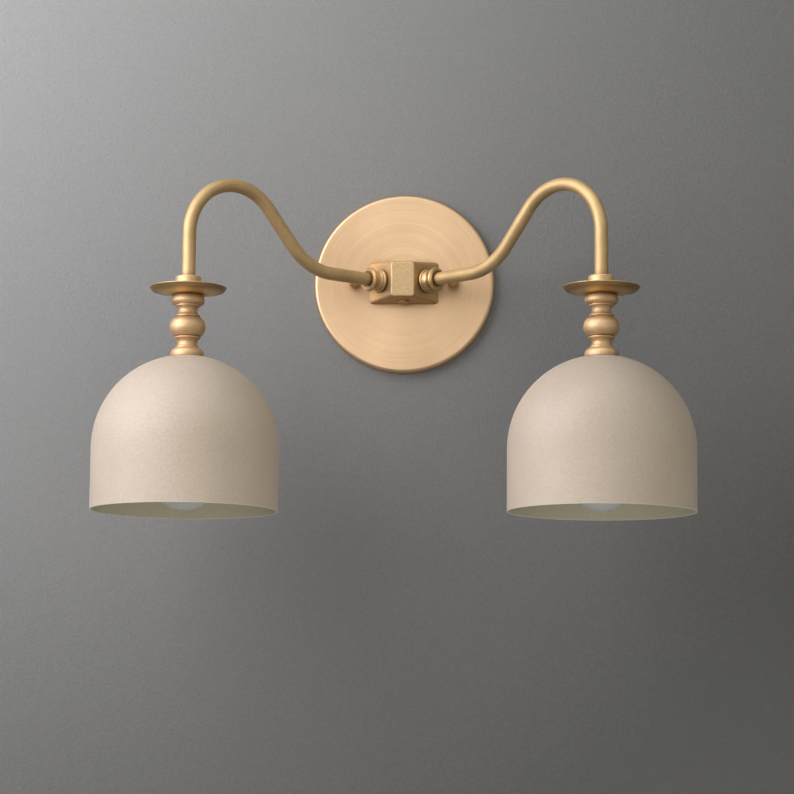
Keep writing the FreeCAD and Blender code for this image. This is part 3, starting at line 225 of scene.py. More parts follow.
def stand_for(piece, node, body):
    """The dressed piece takes the CAD piece's place and moves with the same body."""
    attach(piece, body)
    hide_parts(node)


def brass_finish(name, pale, deep, roughness, tool_marks, anisotropy=0.0, patina=120, relief=0.000008):
    """Satin brass. 'tool_marks' takes the tree and the place and gives the marks' noise."""
    finish, tree, shader, place = new_finish(name)
    marks = tool_marks(tree, place)
    cloud = noise(tree, place, patina, detail=4)
    share = reckon(tree, "ShaderNodeMath", "ADD", between(tree, cloud, 0, 0.5), between(tree, marks, 0, 0.5))
    # corners that no polishing wheel reaches keep a brown patina; the darkening follows ambient occlusion,
    # so it is also painted shade in every hollow, recess and gap between parts
    patina_and_shade_brown = (deep[0] * 0.45, deep[1] * 0.36, deep[2] * 0.26)
    open_air = add(tree, "ShaderNodeAmbientOcclusion", {"Distance": 0.0045}, samples=6).outputs["AO"]
    patina_and_painted_shade = between(tree, open_air, 0.7, 0, start=0.35, end=0.95)
    shader.inputs["Metallic"].default_value = 1.0
    shader.inputs["Anisotropic"].default_value = anisotropy
    finish_surface(tree, shader, blend(tree, patina_and_painted_shade, blend(tree, share, pale, deep), patina_and_shade_brown),
                   between(tree, marks, roughness - 0.05, roughness + 0.07), marks, depth=relief)
    return finish


def workings(finish):
    """The tree of a finish and its shader."""
    return finish.node_tree, finish.node_tree.nodes["Principled BSDF"]


def ring_marks_on_plate(tree, place):
    """Fine rings round the plate's middle, as a brush leaves them on a turning disc."""
    flat = reckon(tree, "ShaderNodeVectorMath", "MULTIPLY", place, (1, 0, 1))
    radius = reckon(tree, "ShaderNodeVectorMath", "LENGTH", flat, output="Value")
    ring = add(tree, "ShaderNodeCombineXYZ", {"X": radius}).outputs["Vector"]
    drift = reckon(tree, "ShaderNodeVectorMath", "MULTIPLY", place, (0.02, 0, 0.02))
    spot = reckon(tree, "ShaderNodeVectorMath", "ADD", ring, drift)
    broad = noise(tree, spot, scale=520, detail=2, roughness=0.5)
    fine = noise(tree, spot, scale=2100, detail=3, roughness=0.6)
    return add(tree, "ShaderNodeMix", {"Factor": 0.6, "A": broad, "B": fine}).outputs["Result"]


plate_brass = brass_finish(
    "backplate_brushed_brass", pale=(0.54, 0.36, 0.222), deep=(0.83, 0.58, 0.372), roughness=0.48,
    tool_marks=ring_marks_on_plate, anisotropy=0.2, patina=18, relief=0.00001)
plate_tree, plate_shader = workings(plate_brass)
round_the_axis = add(plate_tree, "ShaderNodeTangent", direction_type="RADIAL", axis="Y")
plate_tree.links.new(round_the_axis.outputs["Tangent"], plate_shader.inputs["Tangent"])

pan_inside, pan_roof = PLATE_RADIUS - PLATE_SHEET, PLATE_DEPTH - PLATE_SHEET
backplate = turn_piece("backplate_pan", turned_points([
    (WIRE_HOLE, pan_roof), (pan_inside - PLATE_EDGE, pan_roof),
    (pan_inside, pan_roof - PLATE_EDGE, -inner_bend), (pan_inside, 0), (PLATE_RADIUS, 0),
    (PLATE_RADIUS, PLATE_DEPTH - PLATE_EDGE), (PLATE_RADIUS - PLATE_EDGE, PLATE_DEPTH, outer_bend),
    (WIRE_HOLE, PLATE_DEPTH),
], soft=0.2), (0, 0, 0), (0, -1, 0), plate_brass, rounds=192)
stand_for(backplate, "backplate", "fixture")

# The studs and the two ball nuts: small turned brass nuts with a foot, a waist and a ball. They go
# onto the strap's studs by hand, beside the hub, and press the backplate to the wall.

STUD_X = 34.925
SIDES = (("left", -1), ("right", 1))
nut_thread, nut_foot, nut_waist, nut_ball = 2.14, 3.3, 2.7, 4.0
foot_top, waist_top, ball_level, nut_top, thread_end = 1.4, 1.9, 4.85, 8.85, 6.0
flank_rise, dome_rise = 0.33, 1.17


def lathe_marks_up(tree, place):
    """Fine level lines round pieces that stand upright in the lathe."""
    return noise(tree, place, scale=60, stretch=(1, 1, 26), detail=5, roughness=0.7)


def lathe_marks_out(tree, place):
    """The same for pieces whose axis points out of the wall."""
    return noise(tree, place, scale=60, stretch=(1, 55, 1), detail=5, roughness=0.6)


nut_brass = brass_finish("ball_nut_brass", pale=(0.66, 0.46, 0.24), deep=(0.52, 0.35, 0.17),
                         roughness=0.36, tool_marks=lathe_marks_out)
stud_brass = brass_finish("stud_brass", pale=(0.62, 0.44, 0.22), deep=(0.45, 0.30, 0.14),
                          roughness=0.34, tool_marks=lathe_marks_out)
clothe("strap_studs", stud_brass)
for side, sign in SIDES:
    nut = turn_piece(side + "_ball_nut", turned_points([
        (nut_thread, 0), (nut_foot, 0), (nut_foot, foot_top), (nut_waist, foot_top),
        (nut_waist, waist_top), (nut_ball, ball_level, flank_rise), (0, nut_top, dome_rise),
        (0, thread_end), (nut_thread, thread_end),
    ], soft=0.2), (STUD_X * sign * MM, -PLATE_DEPTH * MM, 0), (0, -1, 0), nut_brass, rounds=64)
    stand_for(nut, side + "_cap_nut", side + "_nut")

# The hub: a hollow brass casting that tapers towards the room, with eased edges and the fine
# grain of its sand mould under the satin finish. Four screws behind the plate hold it.


def casting_marks(tree, place):
    """The even fine pitting of a casting that was tumbled and lacquered."""
    coarse = noise(tree, place, scale=900, detail=5, roughness=0.6)
    fine = noise(tree, place, scale=3200, detail=2)
    return reckon(tree, "ShaderNodeMath", "MAXIMUM", coarse, fine)


cast_brass = brass_finish("hub_cast_brass", pale=(0.64, 0.455, 0.265), deep=(0.46, 0.315, 0.17),
                          roughness=0.47, tool_marks=casting_marks, patina=620, relief=0.00006)
clothe("hub_body", cast_brass)
clothe("hub_plug", cast_brass)
clothe("hub_screws", zinc)

# The wire grommet: a black rubber ring pressed into the backplate's middle hole, so that the
# wires don't chafe on the sheet's edge.

rubber, rubber_tree, rubber_shader, rubber_place = new_finish("grommet_rubber")
rubber_grain = noise(rubber_tree, rubber_place, scale=1800)
finish_surface(rubber_tree, rubber_shader,
               blend(rubber_tree, rubber_grain, (0.012, 0.012, 0.013), (0.03, 0.03, 0.03)),
               between(rubber_tree, rubber_grain, 0.55, 0.75), rubber_grain, depth=0.00003)
clothe("wire_grommet", rubber)

# The arm couplings: turned brass spools with two rings and a hollow between them. Their threaded
# stubs go through the hub's slanted sides, and a steel nut inside the hub holds each one.

ARM_ANGLE = math.radians(42)
HUB_SIDE = (16.125, -15.43)  # where the right arm's axis leaves the hub, in millimetres
TUBE_HOLE = 4.55
spool_length, stub_length, socket_floor = 11.6, 6.5, 3.0
wireway, stub, ring, step, sunk_ring = 3.6, 5.0, 7.7, 7.2, 5.65
ring_width, step_width, end_width, sunk_depth = 2.3, 0.8, 0.5, 0.9
ring_crown, cove_depth = 0.6, 1.0


def lathe_marks_on_arm(tree, place):
    """Lathe lines across the arm's axis, on either side: both arms lean the same way to the wall."""
    mirrored = reckon(tree, "ShaderNodeVectorMath", "ABSOLUTE", place)
    turned_to_arm = add(tree, "ShaderNodeVectorRotate", {"Vector": mirrored, "Angle": -ARM_ANGLE},
                        rotation_type="Z_AXIS").outputs["Vector"]
    return noise(tree, turned_to_arm, scale=60, stretch=(55, 1, 1), detail=5, roughness=0.6)


def arm_start(sign):
    """Where an arm leaves the hub, in metres, and which way it goes."""
    return (Vector((HUB_SIDE[0] * sign, HUB_SIDE[1], 0)) * MM,
            Vector((math.cos(ARM_ANGLE) * sign, -math.sin(ARM_ANGLE), 0)))


coupling_brass = brass_finish("coupling_turned_brass", pale=(0.68, 0.48, 0.27), deep=(0.54, 0.37, 0.19),
                              roughness=0.40, tool_marks=lathe_marks_on_arm)
outer_ring = spool_length - end_width - ring_width
spool_outline = turned_points([
    (wireway, -stub_length), (stub, -stub_length), (stub, 0), (ring, 0), (ring, ring_width, ring_crown),
    (step, ring_width), (step, ring_width + step_width), (step, outer_ring - step_width, -cove_depth),
    (step, outer_ring), (ring, outer_ring), (ring, outer_ring + ring_width, ring_crown),
    (step, outer_ring + ring_width), (step, spool_length), (sunk_ring, spool_length),
    (sunk_ring, spool_length - sunk_depth), (TUBE_HOLE, spool_length - sunk_depth),
    (TUBE_HOLE, socket_floor), (wireway, socket_floor),
], soft=0.2)
for side, sign in SIDES:
    coupling = turn_piece(side + "_coupling_spool", spool_outline, *arm_start(sign), coupling_brass)
    stand_for(coupling, side + "_arm_coupling", "fixture")
    clothe(side + "_coupling_nut", zinc)

# The arms: brass tube bent in one plane, level out of the hub, up, over and straight down. They
# are satin, with faint marks along the tube from the bending and polishing.

TUBE_OUTSIDE, TUBE_BORE = 4.5, 3.5
LEVEL_RUN, RISING_RUN, RISE = 43.0, 31.0, math.radians(48)
LOW_BEND, TOP_BEND = 45.0, 37.0
LOW_BEND_STEPS, TOP_BEND_STEPS = 24, 60


def bend_points():
    """The tube's middle line in its own plane: (distance from the hub, height, slope), in mm."""
    line = [(3.0, 0.0, 0.0), (23.0, 0.0, 0.0)]
    for number in range(LOW_BEND_STEPS + 1):
        slope = RISE * number / LOW_BEND_STEPS
        line.append((LEVEL_RUN + LOW_BEND * math.sin(slope), LOW_BEND * (1 - math.cos(slope)), slope))
    reach = line[-1][0] + RISING_RUN * math.cos(RISE)
    height = line[-1][1] + RISING_RUN * math.sin(RISE)
    middle_out = reach + TOP_BEND * math.sin(RISE)
    middle_up = height - TOP_BEND * math.cos(RISE)
    for number in range(TOP_BEND_STEPS + 1):
        slope = RISE - (RISE + math.pi / 2) * number / TOP_BEND_STEPS
        line.append((middle_out - TOP_BEND * math.sin(slope), middle_up + TOP_BEND * math.cos(slope),
                     slope))
    return line + [(middle_out + TOP_BEND, level, -math.pi / 2) for level in (-5.0, -22.0, -40.6)]


def bend_tube(name, root, way, finish, rounds=56):
    """Sweeps a hollow tube along the bent line; its texture runs along the tube."""
    level = Vector((-way.y, way.x, 0))
    builder = bmesh.new()
    layer = builder.loops.layers.uv.new("along_tube")
    rings = []
    travelled = 0.0
    before = None
    for out, up, slope in bend_points():
        middle = root + (way * out + Vector((0, 0, up))) * MM
        travelled += (middle - before).length if before else 0.0
        before = middle
        lift = way * -math.sin(slope) + Vector((0, 0, math.cos(slope)))
        pair = []
        for radius in (TUBE_OUTSIDE, TUBE_BORE):
            pair.append([builder.verts.new(
                middle + (lift * math.cos(2 * math.pi * number / rounds)
                          + level * math.sin(2 * math.pi * number / rounds)) * radius * MM)
                for number in range(rounds)])
        rings.append((pair, travelled))
    for (first, start), (second, end) in zip(rings, rings[1:]):
        for near, far in zip(first, second):
            for number in range(rounds):
                following = (number + 1) % rounds
                face = builder.faces.new((near[number], near[following], far[following], far[number]))
                turns = (number, number + 1, number + 1, number)
                for loop, turn, distance in zip(face.loops, turns, (start, start, end, end)):
                    loop[layer].uv = (turn / rounds, distance)
    for (outside, bore), _ in (rings[0], rings[-1]):
        for number in range(rounds):
            following = (number + 1) % rounds
            builder.faces.new((outside[number], outside[following], bore[following], bore[number]))
    return finish_mesh(name, builder, finish)


def marks_along_tube(tree, place):
    """Fine lines along the tube, a little uneven round it."""
    along = add(tree, "ShaderNodeUVMap", uv_map="along_tube")
    return noise(tree, along.outputs["UV"], scale=40, stretch=(1.4, 1, 1), detail=6, roughness=0.7)


tube_brass = brass_finish("arm_tube_satin_brass", pale=(0.72, 0.515, 0.285), deep=(0.48, 0.34, 0.175),
                          roughness=0.60, tool_marks=marks_along_tube, patina=70)
for side, sign in SIDES:
    tube = bend_tube(side + "_bent_tube", *arm_start(sign), tube_brass)
    stand_for(tube, side + "_arm_tube", "fixture")

# The collars: short turned brass rings over the tube's end, with a rounded shoulder. Each one
# presses its saucer down on the neck.

ARM_REACH = bend_points()[-1][0]
SHADE_X = HUB_SIDE[0] + ARM_REACH * math.cos(ARM_ANGLE)
SHADE_Y = HUB_SIDE[1] - ARM_REACH * math.sin(ARM_ANGLE)
UPRIGHT = (0, 0, 1)
NECK_TOP = -28.6
SAUCER_SHEET = 1.0
collar_radius, collar_height, shoulder, shoulder_rise = 8.7, 11.3, 1.4, 0.41


def over_shade(sign, height):
    """A place on a shade's axis, at a height in millimetres."""
    return Vector((SHADE_X * sign, SHADE_Y, height)) * MM


turned_brass = brass_finish("neck_turned_brass", pale=(0.85, 0.61, 0.38), deep=(0.54, 0.36, 0.205),
                            roughness=0.56, tool_marks=lathe_marks_up)
for side, sign in SIDES:
    collar = turn_piece(side + "_turned_collar", turned_points([
        (TUBE_HOLE, 0), (collar_radius, 0), (collar_radius, collar_height - shoulder),
        (collar_radius - shoulder, collar_height, shoulder_rise),
        (TUBE_HOLE, collar_height),
    ]), over_shade(sign, NECK_TOP + SAUCER_SHEET), UPRIGHT, turned_brass)
    stand_for(collar, side + "_collar", "fixture")

# The saucers: shallow dishes spun from brass sheet, with a turned-up lip. They are browner towards
# the lip, whose top edge is painted pale as a painted highlight, and the spinning tool leaves rings on them.

LIP_BROWN, LIP_PAINTED_HIGHLIGHT = (0.34, 0.22, 0.10), (0.80, 0.57, 0.34)
saucer_seat, lip_radius, lip_height, lip_edge = 11.3, 25.4, 4.4, 0.5


def from_shade_axis(tree, place):
    """The way to this spot from the nearer shade's axis, with both shades laid on each other."""
    mirrored = reckon(tree, "ShaderNodeVectorMath", "ABSOLUTE", place)
    centred = reckon(tree, "ShaderNodeVectorMath", "SUBTRACT", mirrored, (SHADE_X * MM, -SHADE_Y * MM, 0))
    return reckon(tree, "ShaderNodeVectorMath", "MULTIPLY", centred, (1, 1, 0))


def radius_on_saucer(tree, place):
    """Distance in metres from the nearer shade's axis."""
    return reckon(tree, "ShaderNodeVectorMath", "LENGTH", from_shade_axis(tree, place), output="Value")


def spinning_marks(tree, place):
    """Rings round each shade's axis, as the spinning tool leaves them."""
    ring = add(tree, "ShaderNodeCombineXYZ", {"X": radius_on_saucer(tree, place)})
    return noise(tree, ring.outputs["Vector"], scale=1500, detail=4, roughness=0.6)


saucer_brass = brass_finish("saucer_spun_brass", pale=(0.95, 0.69, 0.34), deep=(0.76, 0.53, 0.24),
                            roughness=0.46, tool_marks=spinning_marks)
saucer_tree, saucer_shader = workings(saucer_brass)
saucer_place = add(saucer_tree, "ShaderNodeTexCoord").outputs["Object"]
saucer_level = add(saucer_tree, "ShaderNodeSeparateXYZ", {"Vector": saucer_place}).outputs["Z"]
plain_brass = saucer_shader.inputs["Base Color"].links[0].from_socket
near_lip = between(saucer_tree, radius_on_saucer(saucer_tree, saucer_place), 0, 0.78, 0.0165, 0.0230)
# painted highlight: the lip's top edge, which faces the light, is painted pale all round
highlight_on_lip_edge = between(saucer_tree, saucer_level, 0, 0.9, -0.0243, -0.0239)
browned = blend(saucer_tree, near_lip, plain_brass, LIP_BROWN)
saucer_tree.links.new(blend(saucer_tree, highlight_on_lip_edge, browned, LIP_PAINTED_HIGHLIGHT), saucer_shader.inputs["Base Color"])
saucer_outline = turned_points([
    (TUBE_HOLE, 0), (saucer_seat, 0), (23.5, 2.2), (lip_radius, lip_height),
    (lip_radius - lip_edge, lip_height + lip_edge, 0.14), (24.1, 4.65), (22.65, 3.2),
    (saucer_seat, SAUCER_SHEET), (TUBE_HOLE, SAUCER_SHEET),
], soft=0.3)
for side, sign in SIDES:
    saucer = turn_piece(side + "_spun_saucer", saucer_outline, over_shade(sign, NECK_TOP), UPRIGHT,
                        saucer_brass, rounds=128)
    stand_for(saucer, side + "_bobeche", "fixture")

# The necks: turned from solid brass bar, with a ring, a hollow, a bead, a ball, a bead, a hollow
# and a flared foot that sits on the shade. A threaded nipple inside clamps them to it.

NIPPLE_HOLE = 5.05
NECK_HEIGHT = 41.6
bead_crown = 0.35


def arc_rise(radius, across, up):
    """How far an arc of this radius stands over the straight line between its ends."""
    return radius - math.sqrt(radius * radius - (across * across + up * up) / 4)


def swell(across, up):
    """Rise of an arc that leaves one of its ends upright and moves in by 'across' over 'up'."""
    return arc_rise((across * across + up * up) / (2 * across), across, up)


neck_foot = [(NIPPLE_HOLE, 0), (11.15, 0), (11.15, 1.6), (8.2, 5.8, swell(2.95, 4.2))]
lower_hollow = [(7.8, 5.8), (7.8, 6.8), (7.3, 6.8), (8.3, 12.0, -1.3)]
lower_bead = [(8.45, 12.0), (8.45, 13.3, bead_crown)]
neck_ball = [(8.0, 13.3), (11.95, 19.9, swell(3.95, 6.6)), (8.0, 26.5, swell(3.95, 6.6))]
upper_bead = [(7.95, 26.5), (7.95, 27.8, bead_crown)]
upper_hollow = [(7.8, 27.8), (7.8, 33.6, -1.5), (8.3, 33.6), (8.3, 34.6)]
top_ring = [(11.1, 37.4, swell(2.8, 2.8)), (9.6, NECK_HEIGHT, swell(1.5, 4.2))]
neck_bores = [(TUBE_HOLE, NECK_HEIGHT), (TUBE_HOLE, 29.6), (3.4, 29.6), (3.4, 14.0), (NIPPLE_HOLE, 14.0)]
neck_outline = turned_points(
    neck_foot + lower_hollow + lower_bead + neck_ball + upper_bead + upper_hollow + top_ring + neck_bores,
    soft=0.18, arc_steps=12)
for side, sign in SIDES:
    neck = turn_piece(side + "_turned_neck", neck_outline, over_shade(sign, NECK_TOP - NECK_HEIGHT),
                      UPRIGHT, turned_brass, rounds=112)
    stand_for(neck, side + "_neck", "fixture")
    clothe(side + "_neck_nipple", zinc)

# The shades: half a ball and a short cylinder, spun from sheet metal and powder coated inside and
# out in a matte putty colour. The coat is faintly speckled, and paler along the cut rim.

SHADE_RADIUS, SHADE_HEIGHT, SHADE_SHEET, SHADE_SEAT = 61.6, 101.8, 1.0, 10.5
RIM_LEVEL = NECK_TOP - NECK_HEIGHT - SHADE_HEIGHT
PUTTY_PALE, PUTTY_WARM = (0.67, 0.56, 0.48), (0.54, 0.44, 0.36)
INSIDE_PAINTED_LIGHT_PALE, INSIDE_PAINTED_LIGHT_DARK = (0.68, 0.63, 0.51), (0.56, 0.52, 0.41)
RIM_PALE = (0.74, 0.69, 0.60)

putty, putty_tree, putty_shader, putty_place = new_finish("shade_putty_powder_coat")
speckle = noise(putty_tree, putty_place, scale=1100, detail=3, roughness=0.7)
cloud = noise(putty_tree, putty_place, scale=26, detail=4)
orange_peel = noise(putty_tree, putty_place, scale=720, detail=3, roughness=0.6)
share = reckon(putty_tree, "ShaderNodeMath", "ADD", between(putty_tree, cloud, 0, 0.3),
               between(putty_tree, speckle, 0, 0.7, 0.38, 0.62))
# where the surface faces the shade's own axis, the same putty coat is painted a lighter, greener olive:
# painted light, standing for the olive light inside the shade
away = from_shade_axis(putty_tree, putty_place)
quarter = reckon(putty_tree, "ShaderNodeVectorMath", "SIGN", putty_place)
surface_way = add(putty_tree, "ShaderNodeNewGeometry").outputs["Normal"]
mirrored_way = reckon(putty_tree, "ShaderNodeVectorMath", "MULTIPLY", surface_way, quarter)
facing = reckon(putty_tree, "ShaderNodeVectorMath", "DOT_PRODUCT", mirrored_way, away, output="Value")
inside_painted_light = reckon(putty_tree, "ShaderNodeMath", "LESS_THAN", facing, 0.0)
coat = blend(putty_tree, inside_painted_light, blend(putty_tree, share, PUTTY_PALE, PUTTY_WARM),
             blend(putty_tree, share, INSIDE_PAINTED_LIGHT_PALE, INSIDE_PAINTED_LIGHT_DARK))
# the lowest half millimetre of the shade, at the rim, is painted paler
level = add(putty_tree, "ShaderNodeSeparateXYZ", {"Vector": putty_place}).outputs["Z"]
pale_rim_band = between(putty_tree, level, 0.8, 0, (RIM_LEVEL + 0.2) * MM, (RIM_LEVEL + 0.7) * MM)
finish_surface(putty_tree, putty_shader, blend(putty_tree, pale_rim_band, coat, RIM_PALE),
               between(putty_tree, speckle, 0.42, 0.56), orange_peel, depth=0.00006)

dome_inside, under_seat = SHADE_RADIUS - SHADE_SHEET, SHADE_HEIGHT - SHADE_SHEET
dome_level = SHADE_HEIGHT - math.sqrt(SHADE_RADIUS ** 2 - SHADE_SEAT ** 2)
inner_seat = math.sqrt(dome_inside ** 2 - (under_seat - dome_level) ** 2)
outer_arc = arc_rise(SHADE_RADIUS, SHADE_RADIUS - SHADE_SEAT, SHADE_HEIGHT - dome_level)
inner_arc = arc_rise(dome_inside, dome_inside - inner_seat, under_seat - dome_level)
shade_outline = turned_points([
    (SHADE_RADIUS, 0), (SHADE_RADIUS, dome_level), (SHADE_SEAT, SHADE_HEIGHT, outer_arc),
    (NIPPLE_HOLE, SHADE_HEIGHT), (NIPPLE_HOLE, under_seat), (inner_seat, under_seat),
    (dome_inside, dome_level, -inner_arc), (dome_inside, 0),
], soft=0.3, arc_steps=48)
for side, sign in SIDES:
    shade = turn_piece(side + "_spun_shade", shade_outline, over_shade(sign, RIM_LEVEL), UPRIGHT,
                       putty, rounds=192)
    stand_for(shade, side + "_shade", "fixture")
    clothe(side + "_shade_washer", zinc)
    clothe(side + "_shade_nut", zinc)

# The lampholders: a glazed porcelain cap and body on the nipple's lower end, with a bright brass
# screw shell and a springy centre contact inside.

HOLDER_FOOT = -112.0
holder_radius, holder_height, holder_wall, rivet_hole = 17.5, 31.5, 1.9, 1.55
holder_bore, rivet_top, contact_floor = holder_radius - holder_wall, 30.5, 29.0

porcelain, glaze_tree, glaze_shader, glaze_place = new_finish("lampholder_porcelain")
glaze_cloud = noise(glaze_tree, glaze_place, scale=90, detail=3)
finish_surface(glaze_tree, glaze_shader,
               blend(glaze_tree, glaze_cloud, (0.82, 0.81, 0.77), (0.74, 0.73, 0.69)),
               between(glaze_tree, glaze_cloud, 0.12, 0.22), noise(glaze_tree, glaze_place, scale=420),
               depth=0.00004, strength=0.3)
sheet_brass = brass_finish("screw_shell_brass", pale=(0.78, 0.60, 0.30), deep=(0.66, 0.48, 0.22),
                           roughness=0.2, tool_marks=lathe_marks_up)
for side, sign in SIDES:
    holder = turn_piece(side + "_porcelain_body", turned_points([
        (holder_bore, 0), (holder_radius, 0), (holder_radius, holder_height), (0, holder_height),
        (0, rivet_top), (rivet_hole, rivet_top), (rivet_hole, contact_floor),
        (holder_bore, contact_floor),
    ], soft=0.6), over_shade(sign, HOLDER_FOOT), UPRIGHT, porcelain)
    stand_for(holder, side + "_lampholder_body", "fixture")
    clothe(side + "_lampholder_cap", porcelain)
    clothe(side + "_screw_shell", sheet_brass)
    clothe(side + "_centre_contact", sheet_brass)

# The bulbs: small frosted lamps whose round ends just show under the rims. The glass is etched
# inside, the cap is plain aluminium with rolled threads, and a dark insulator carries the contact.

BULB_FOOT = -171.5
GLASS = 0.8
bulb_ball, bulb_throat, throat_level, bulb_top = 23.8, 12.8, 59.5, 64.5
cap_fit, cap_bore = 11.95, 11.15
flare = math.radians(30)

frosted, frost_tree, frost_shader, frost_place = new_finish("bulb_frosted_glass")
frost = noise(frost_tree, frost_place, scale=1400, detail=3)
frost_cloud = noise(frost_tree, frost_place, scale=45, detail=2)
# the frosted glass is painted a mid grey, not white: painted shade for the little light that reaches the
# bulb inside its shade
finish_surface(frost_tree, frost_shader,
               blend(frost_tree, frost_cloud, (0.64, 0.64, 0.64), (0.57, 0.57, 0.58)),
               between(frost_tree, frost, 0.22, 0.34), frost, depth=0.00001, strength=0.4)
frost_shader.inputs["Subsurface Weight"].default_value = 0.3
frost_shader.inputs["Subsurface Radius"].default_value = (0.004, 0.004, 0.004)
aluminium = zinc_finish("bulb_cap_aluminium", pale=(0.74, 0.74, 0.74), dark=(0.62, 0.62, 0.63),
                        roughness=0.3)
dark_glass, dark_tree, dark_shader, dark_place = new_finish("bulb_insulator_dark_glass")
dark_cloud = noise(dark_tree, dark_place, scale=300)
finish_surface(dark_tree, dark_shader,
               blend(dark_tree, dark_cloud, (0.02, 0.015, 0.02), (0.05, 0.04, 0.05)),
               between(dark_tree, dark_cloud, 0.15, 0.3))

hollow, throat_bore, inner_throat = bulb_ball - GLASS, bulb_throat - GLASS, throat_level - GLASS
flare_out, flare_up = bulb_ball * math.cos(flare), bulb_ball * (1 + math.sin(flare))
inner_out, inner_up = hollow * math.cos(flare), bulb_ball + hollow * math.sin(flare)
across, up = flare_out - bulb_throat, throat_level - flare_up
flank = (across ** 2 + up ** 2) / (2 * (up * math.sin(flare) - across * math.cos(flare)))
bulb_outline = turned_points([
    (0, 0), (bulb_ball, bulb_ball, arc_rise(bulb_ball, bulb_ball, bulb_ball)),
    (flare_out, flare_up, arc_rise(bulb_ball, bulb_ball - flare_out, flare_up - bulb_ball)),
    (bulb_throat, throat_level, -arc_rise(flank, across, up)), (cap_fit, throat_level),
    (cap_fit, bulb_top), (cap_bore, bulb_top), (cap_bore, throat_level), (throat_bore, inner_throat),
    (inner_out, inner_up, arc_rise(flank, inner_out - throat_bore, inner_throat - inner_up)),
    (hollow, bulb_ball, -arc_rise(hollow, hollow - inner_out, inner_up - bulb_ball)),
    (0, GLASS, -arc_rise(hollow, hollow, hollow)),
], soft=0.2, arc_steps=24)
for side, sign in SIDES:
    glass = turn_piece(side + "_frosted_bulb", bulb_outline, over_shade(sign, BULB_FOOT), UPRIGHT, frosted)
    stand_for(glass, side + "_bulb_glass", side + "_bulb")
    clothe(side + "_bulb_cap", aluminium)
    clothe(side + "_bulb_contact", aluminium)
    clothe(side + "_bulb_insulator", dark_glass)

# The wires: a black and a white one in each arm, stranded copper in soft plastic. They run from
# the lampholder through neck, tube and hub to the splices behind the plate.


def insulation_finish(name, pale, dark):
    """Soft plastic, a little cloudy, with a dull shine."""
    finish, tree, shader, place = new_finish(name)
    cloud = noise(tree, place, scale=500)
    finish_surface(tree, shader, blend(tree, cloud, pale, dark), between(tree, cloud, 0.35, 0.5),
                   cloud, depth=0.00003, strength=0.4)
    return finish


black_wire = insulation_finish("black_wire_insulation", pale=(0.02, 0.02, 0.02), dark=(0.04, 0.04, 0.04))
white_wire = insulation_finish("white_wire_insulation", pale=(0.74, 0.74, 0.71), dark=(0.66, 0.66, 0.63))
for side, sign in SIDES:
    clothe(side + "_live_wire", black_wire)
    clothe(side + "_neutral_wire", white_wire)

# The studio: a painted wall that the sconce hangs on, seen from the room only, and a pale floor
# far below. A large soft lamp stands to the upper left of the camera, as in the photograph.

WALL_Y, WALL_TOP, WALL_SIDE, FLOOR_LEVEL, FLOOR_SIDE = 0.0005, 1.4, 1.6, -1.75, 4
# the middle of a pool of light painted on the wall: its grey is painted lighter here and darker away from it
PAINTED_LIGHT_SPOT = (-0.45, 0, 0.40)  # where the photograph's wall is lightest
BOX_HOLE = 0.0615
WALL_PAINTED_LIT, WALL_PAINTED_SHADE = (0.40, 0.40, 0.412), (0.122, 0.122, 0.128)


def plain_sheet(name, corners, finish):
    """A flat sheet of the studio, which is no part of the sconce."""
    builder = bmesh.new()
    builder.faces.new([builder.verts.new(corner) for corner in corners])
    mesh = bpy.data.meshes.new(name)
    builder.to_mesh(mesh)
    builder.free()
    piece = bpy.data.objects.new(name, mesh)
    bpy.context.scene.collection.objects.link(piece)
    piece.data.materials.append(finish)


wall_paint, wall_tree, wall_shader, wall_place = new_finish("wall_paint")
wall_grain = noise(wall_tree, wall_place, scale=720, detail=2)
# painted light and shade: the wall's grey darkens with the distance from the painted light spot, and the
# paint's own grain is added on top
from_painted_light_spot = reckon(wall_tree, "ShaderNodeVectorMath", "DISTANCE", wall_place, PAINTED_LIGHT_SPOT, output="Value")
painted_shade_and_grain = reckon(wall_tree, "ShaderNodeMath", "ADD", between(wall_tree, from_painted_light_spot, 0, 1, 0.1, 0.95),
                  between(wall_tree, wall_grain, -0.045, 0.045))
wall_shader.inputs["Roughness"].default_value = 0.8
wall_bump = add(wall_tree, "ShaderNodeBump", {"Height": wall_grain, "Strength": 1.0, "Distance": 0.0005})
wall_tree.links.new(wall_bump.outputs["Normal"], wall_shader.inputs["Normal"])
wall_tree.links.new(blend(wall_tree, painted_shade_and_grain, WALL_PAINTED_LIT, WALL_PAINTED_SHADE), wall_shader.inputs["Base Color"])
# only the eye and the brass see the wall, and only from the room: light passes it, and it is open
# behind the backplate, as it is for a junction box, so that the hollow there can be looked into
from_behind = add(wall_tree, "ShaderNodeNewGeometry").outputs["Backfacing"]
room_side = reckon(wall_tree, "ShaderNodeMath", "SUBTRACT", 1.0, from_behind)
looks = add(wall_tree, "ShaderNodeLightPath").outputs
looked_at = reckon(wall_tree, "ShaderNodeMath", "MAXIMUM", looks["Is Camera Ray"], looks["Is Glossy Ray"])
from_box = reckon(wall_tree, "ShaderNodeVectorMath", "LENGTH", wall_place, output="Value")
round_the_box = reckon(wall_tree, "ShaderNodeMath", "GREATER_THAN", from_box, BOX_HOLE)
shows = reckon(wall_tree, "ShaderNodeMath", "MULTIPLY", room_side, looked_at)
solid = reckon(wall_tree, "ShaderNodeMath", "MULTIPLY", shows, round_the_box)
see_through = add(wall_tree, "ShaderNodeBsdfTransparent").outputs["BSDF"]
both = add(wall_tree, "ShaderNodeMixShader", {0: solid, 1: see_through, 2: wall_shader.outputs["BSDF"]})
wall_tree.links.new(both.outputs["Shader"], wall_tree.nodes["Material Output"].inputs["Surface"])
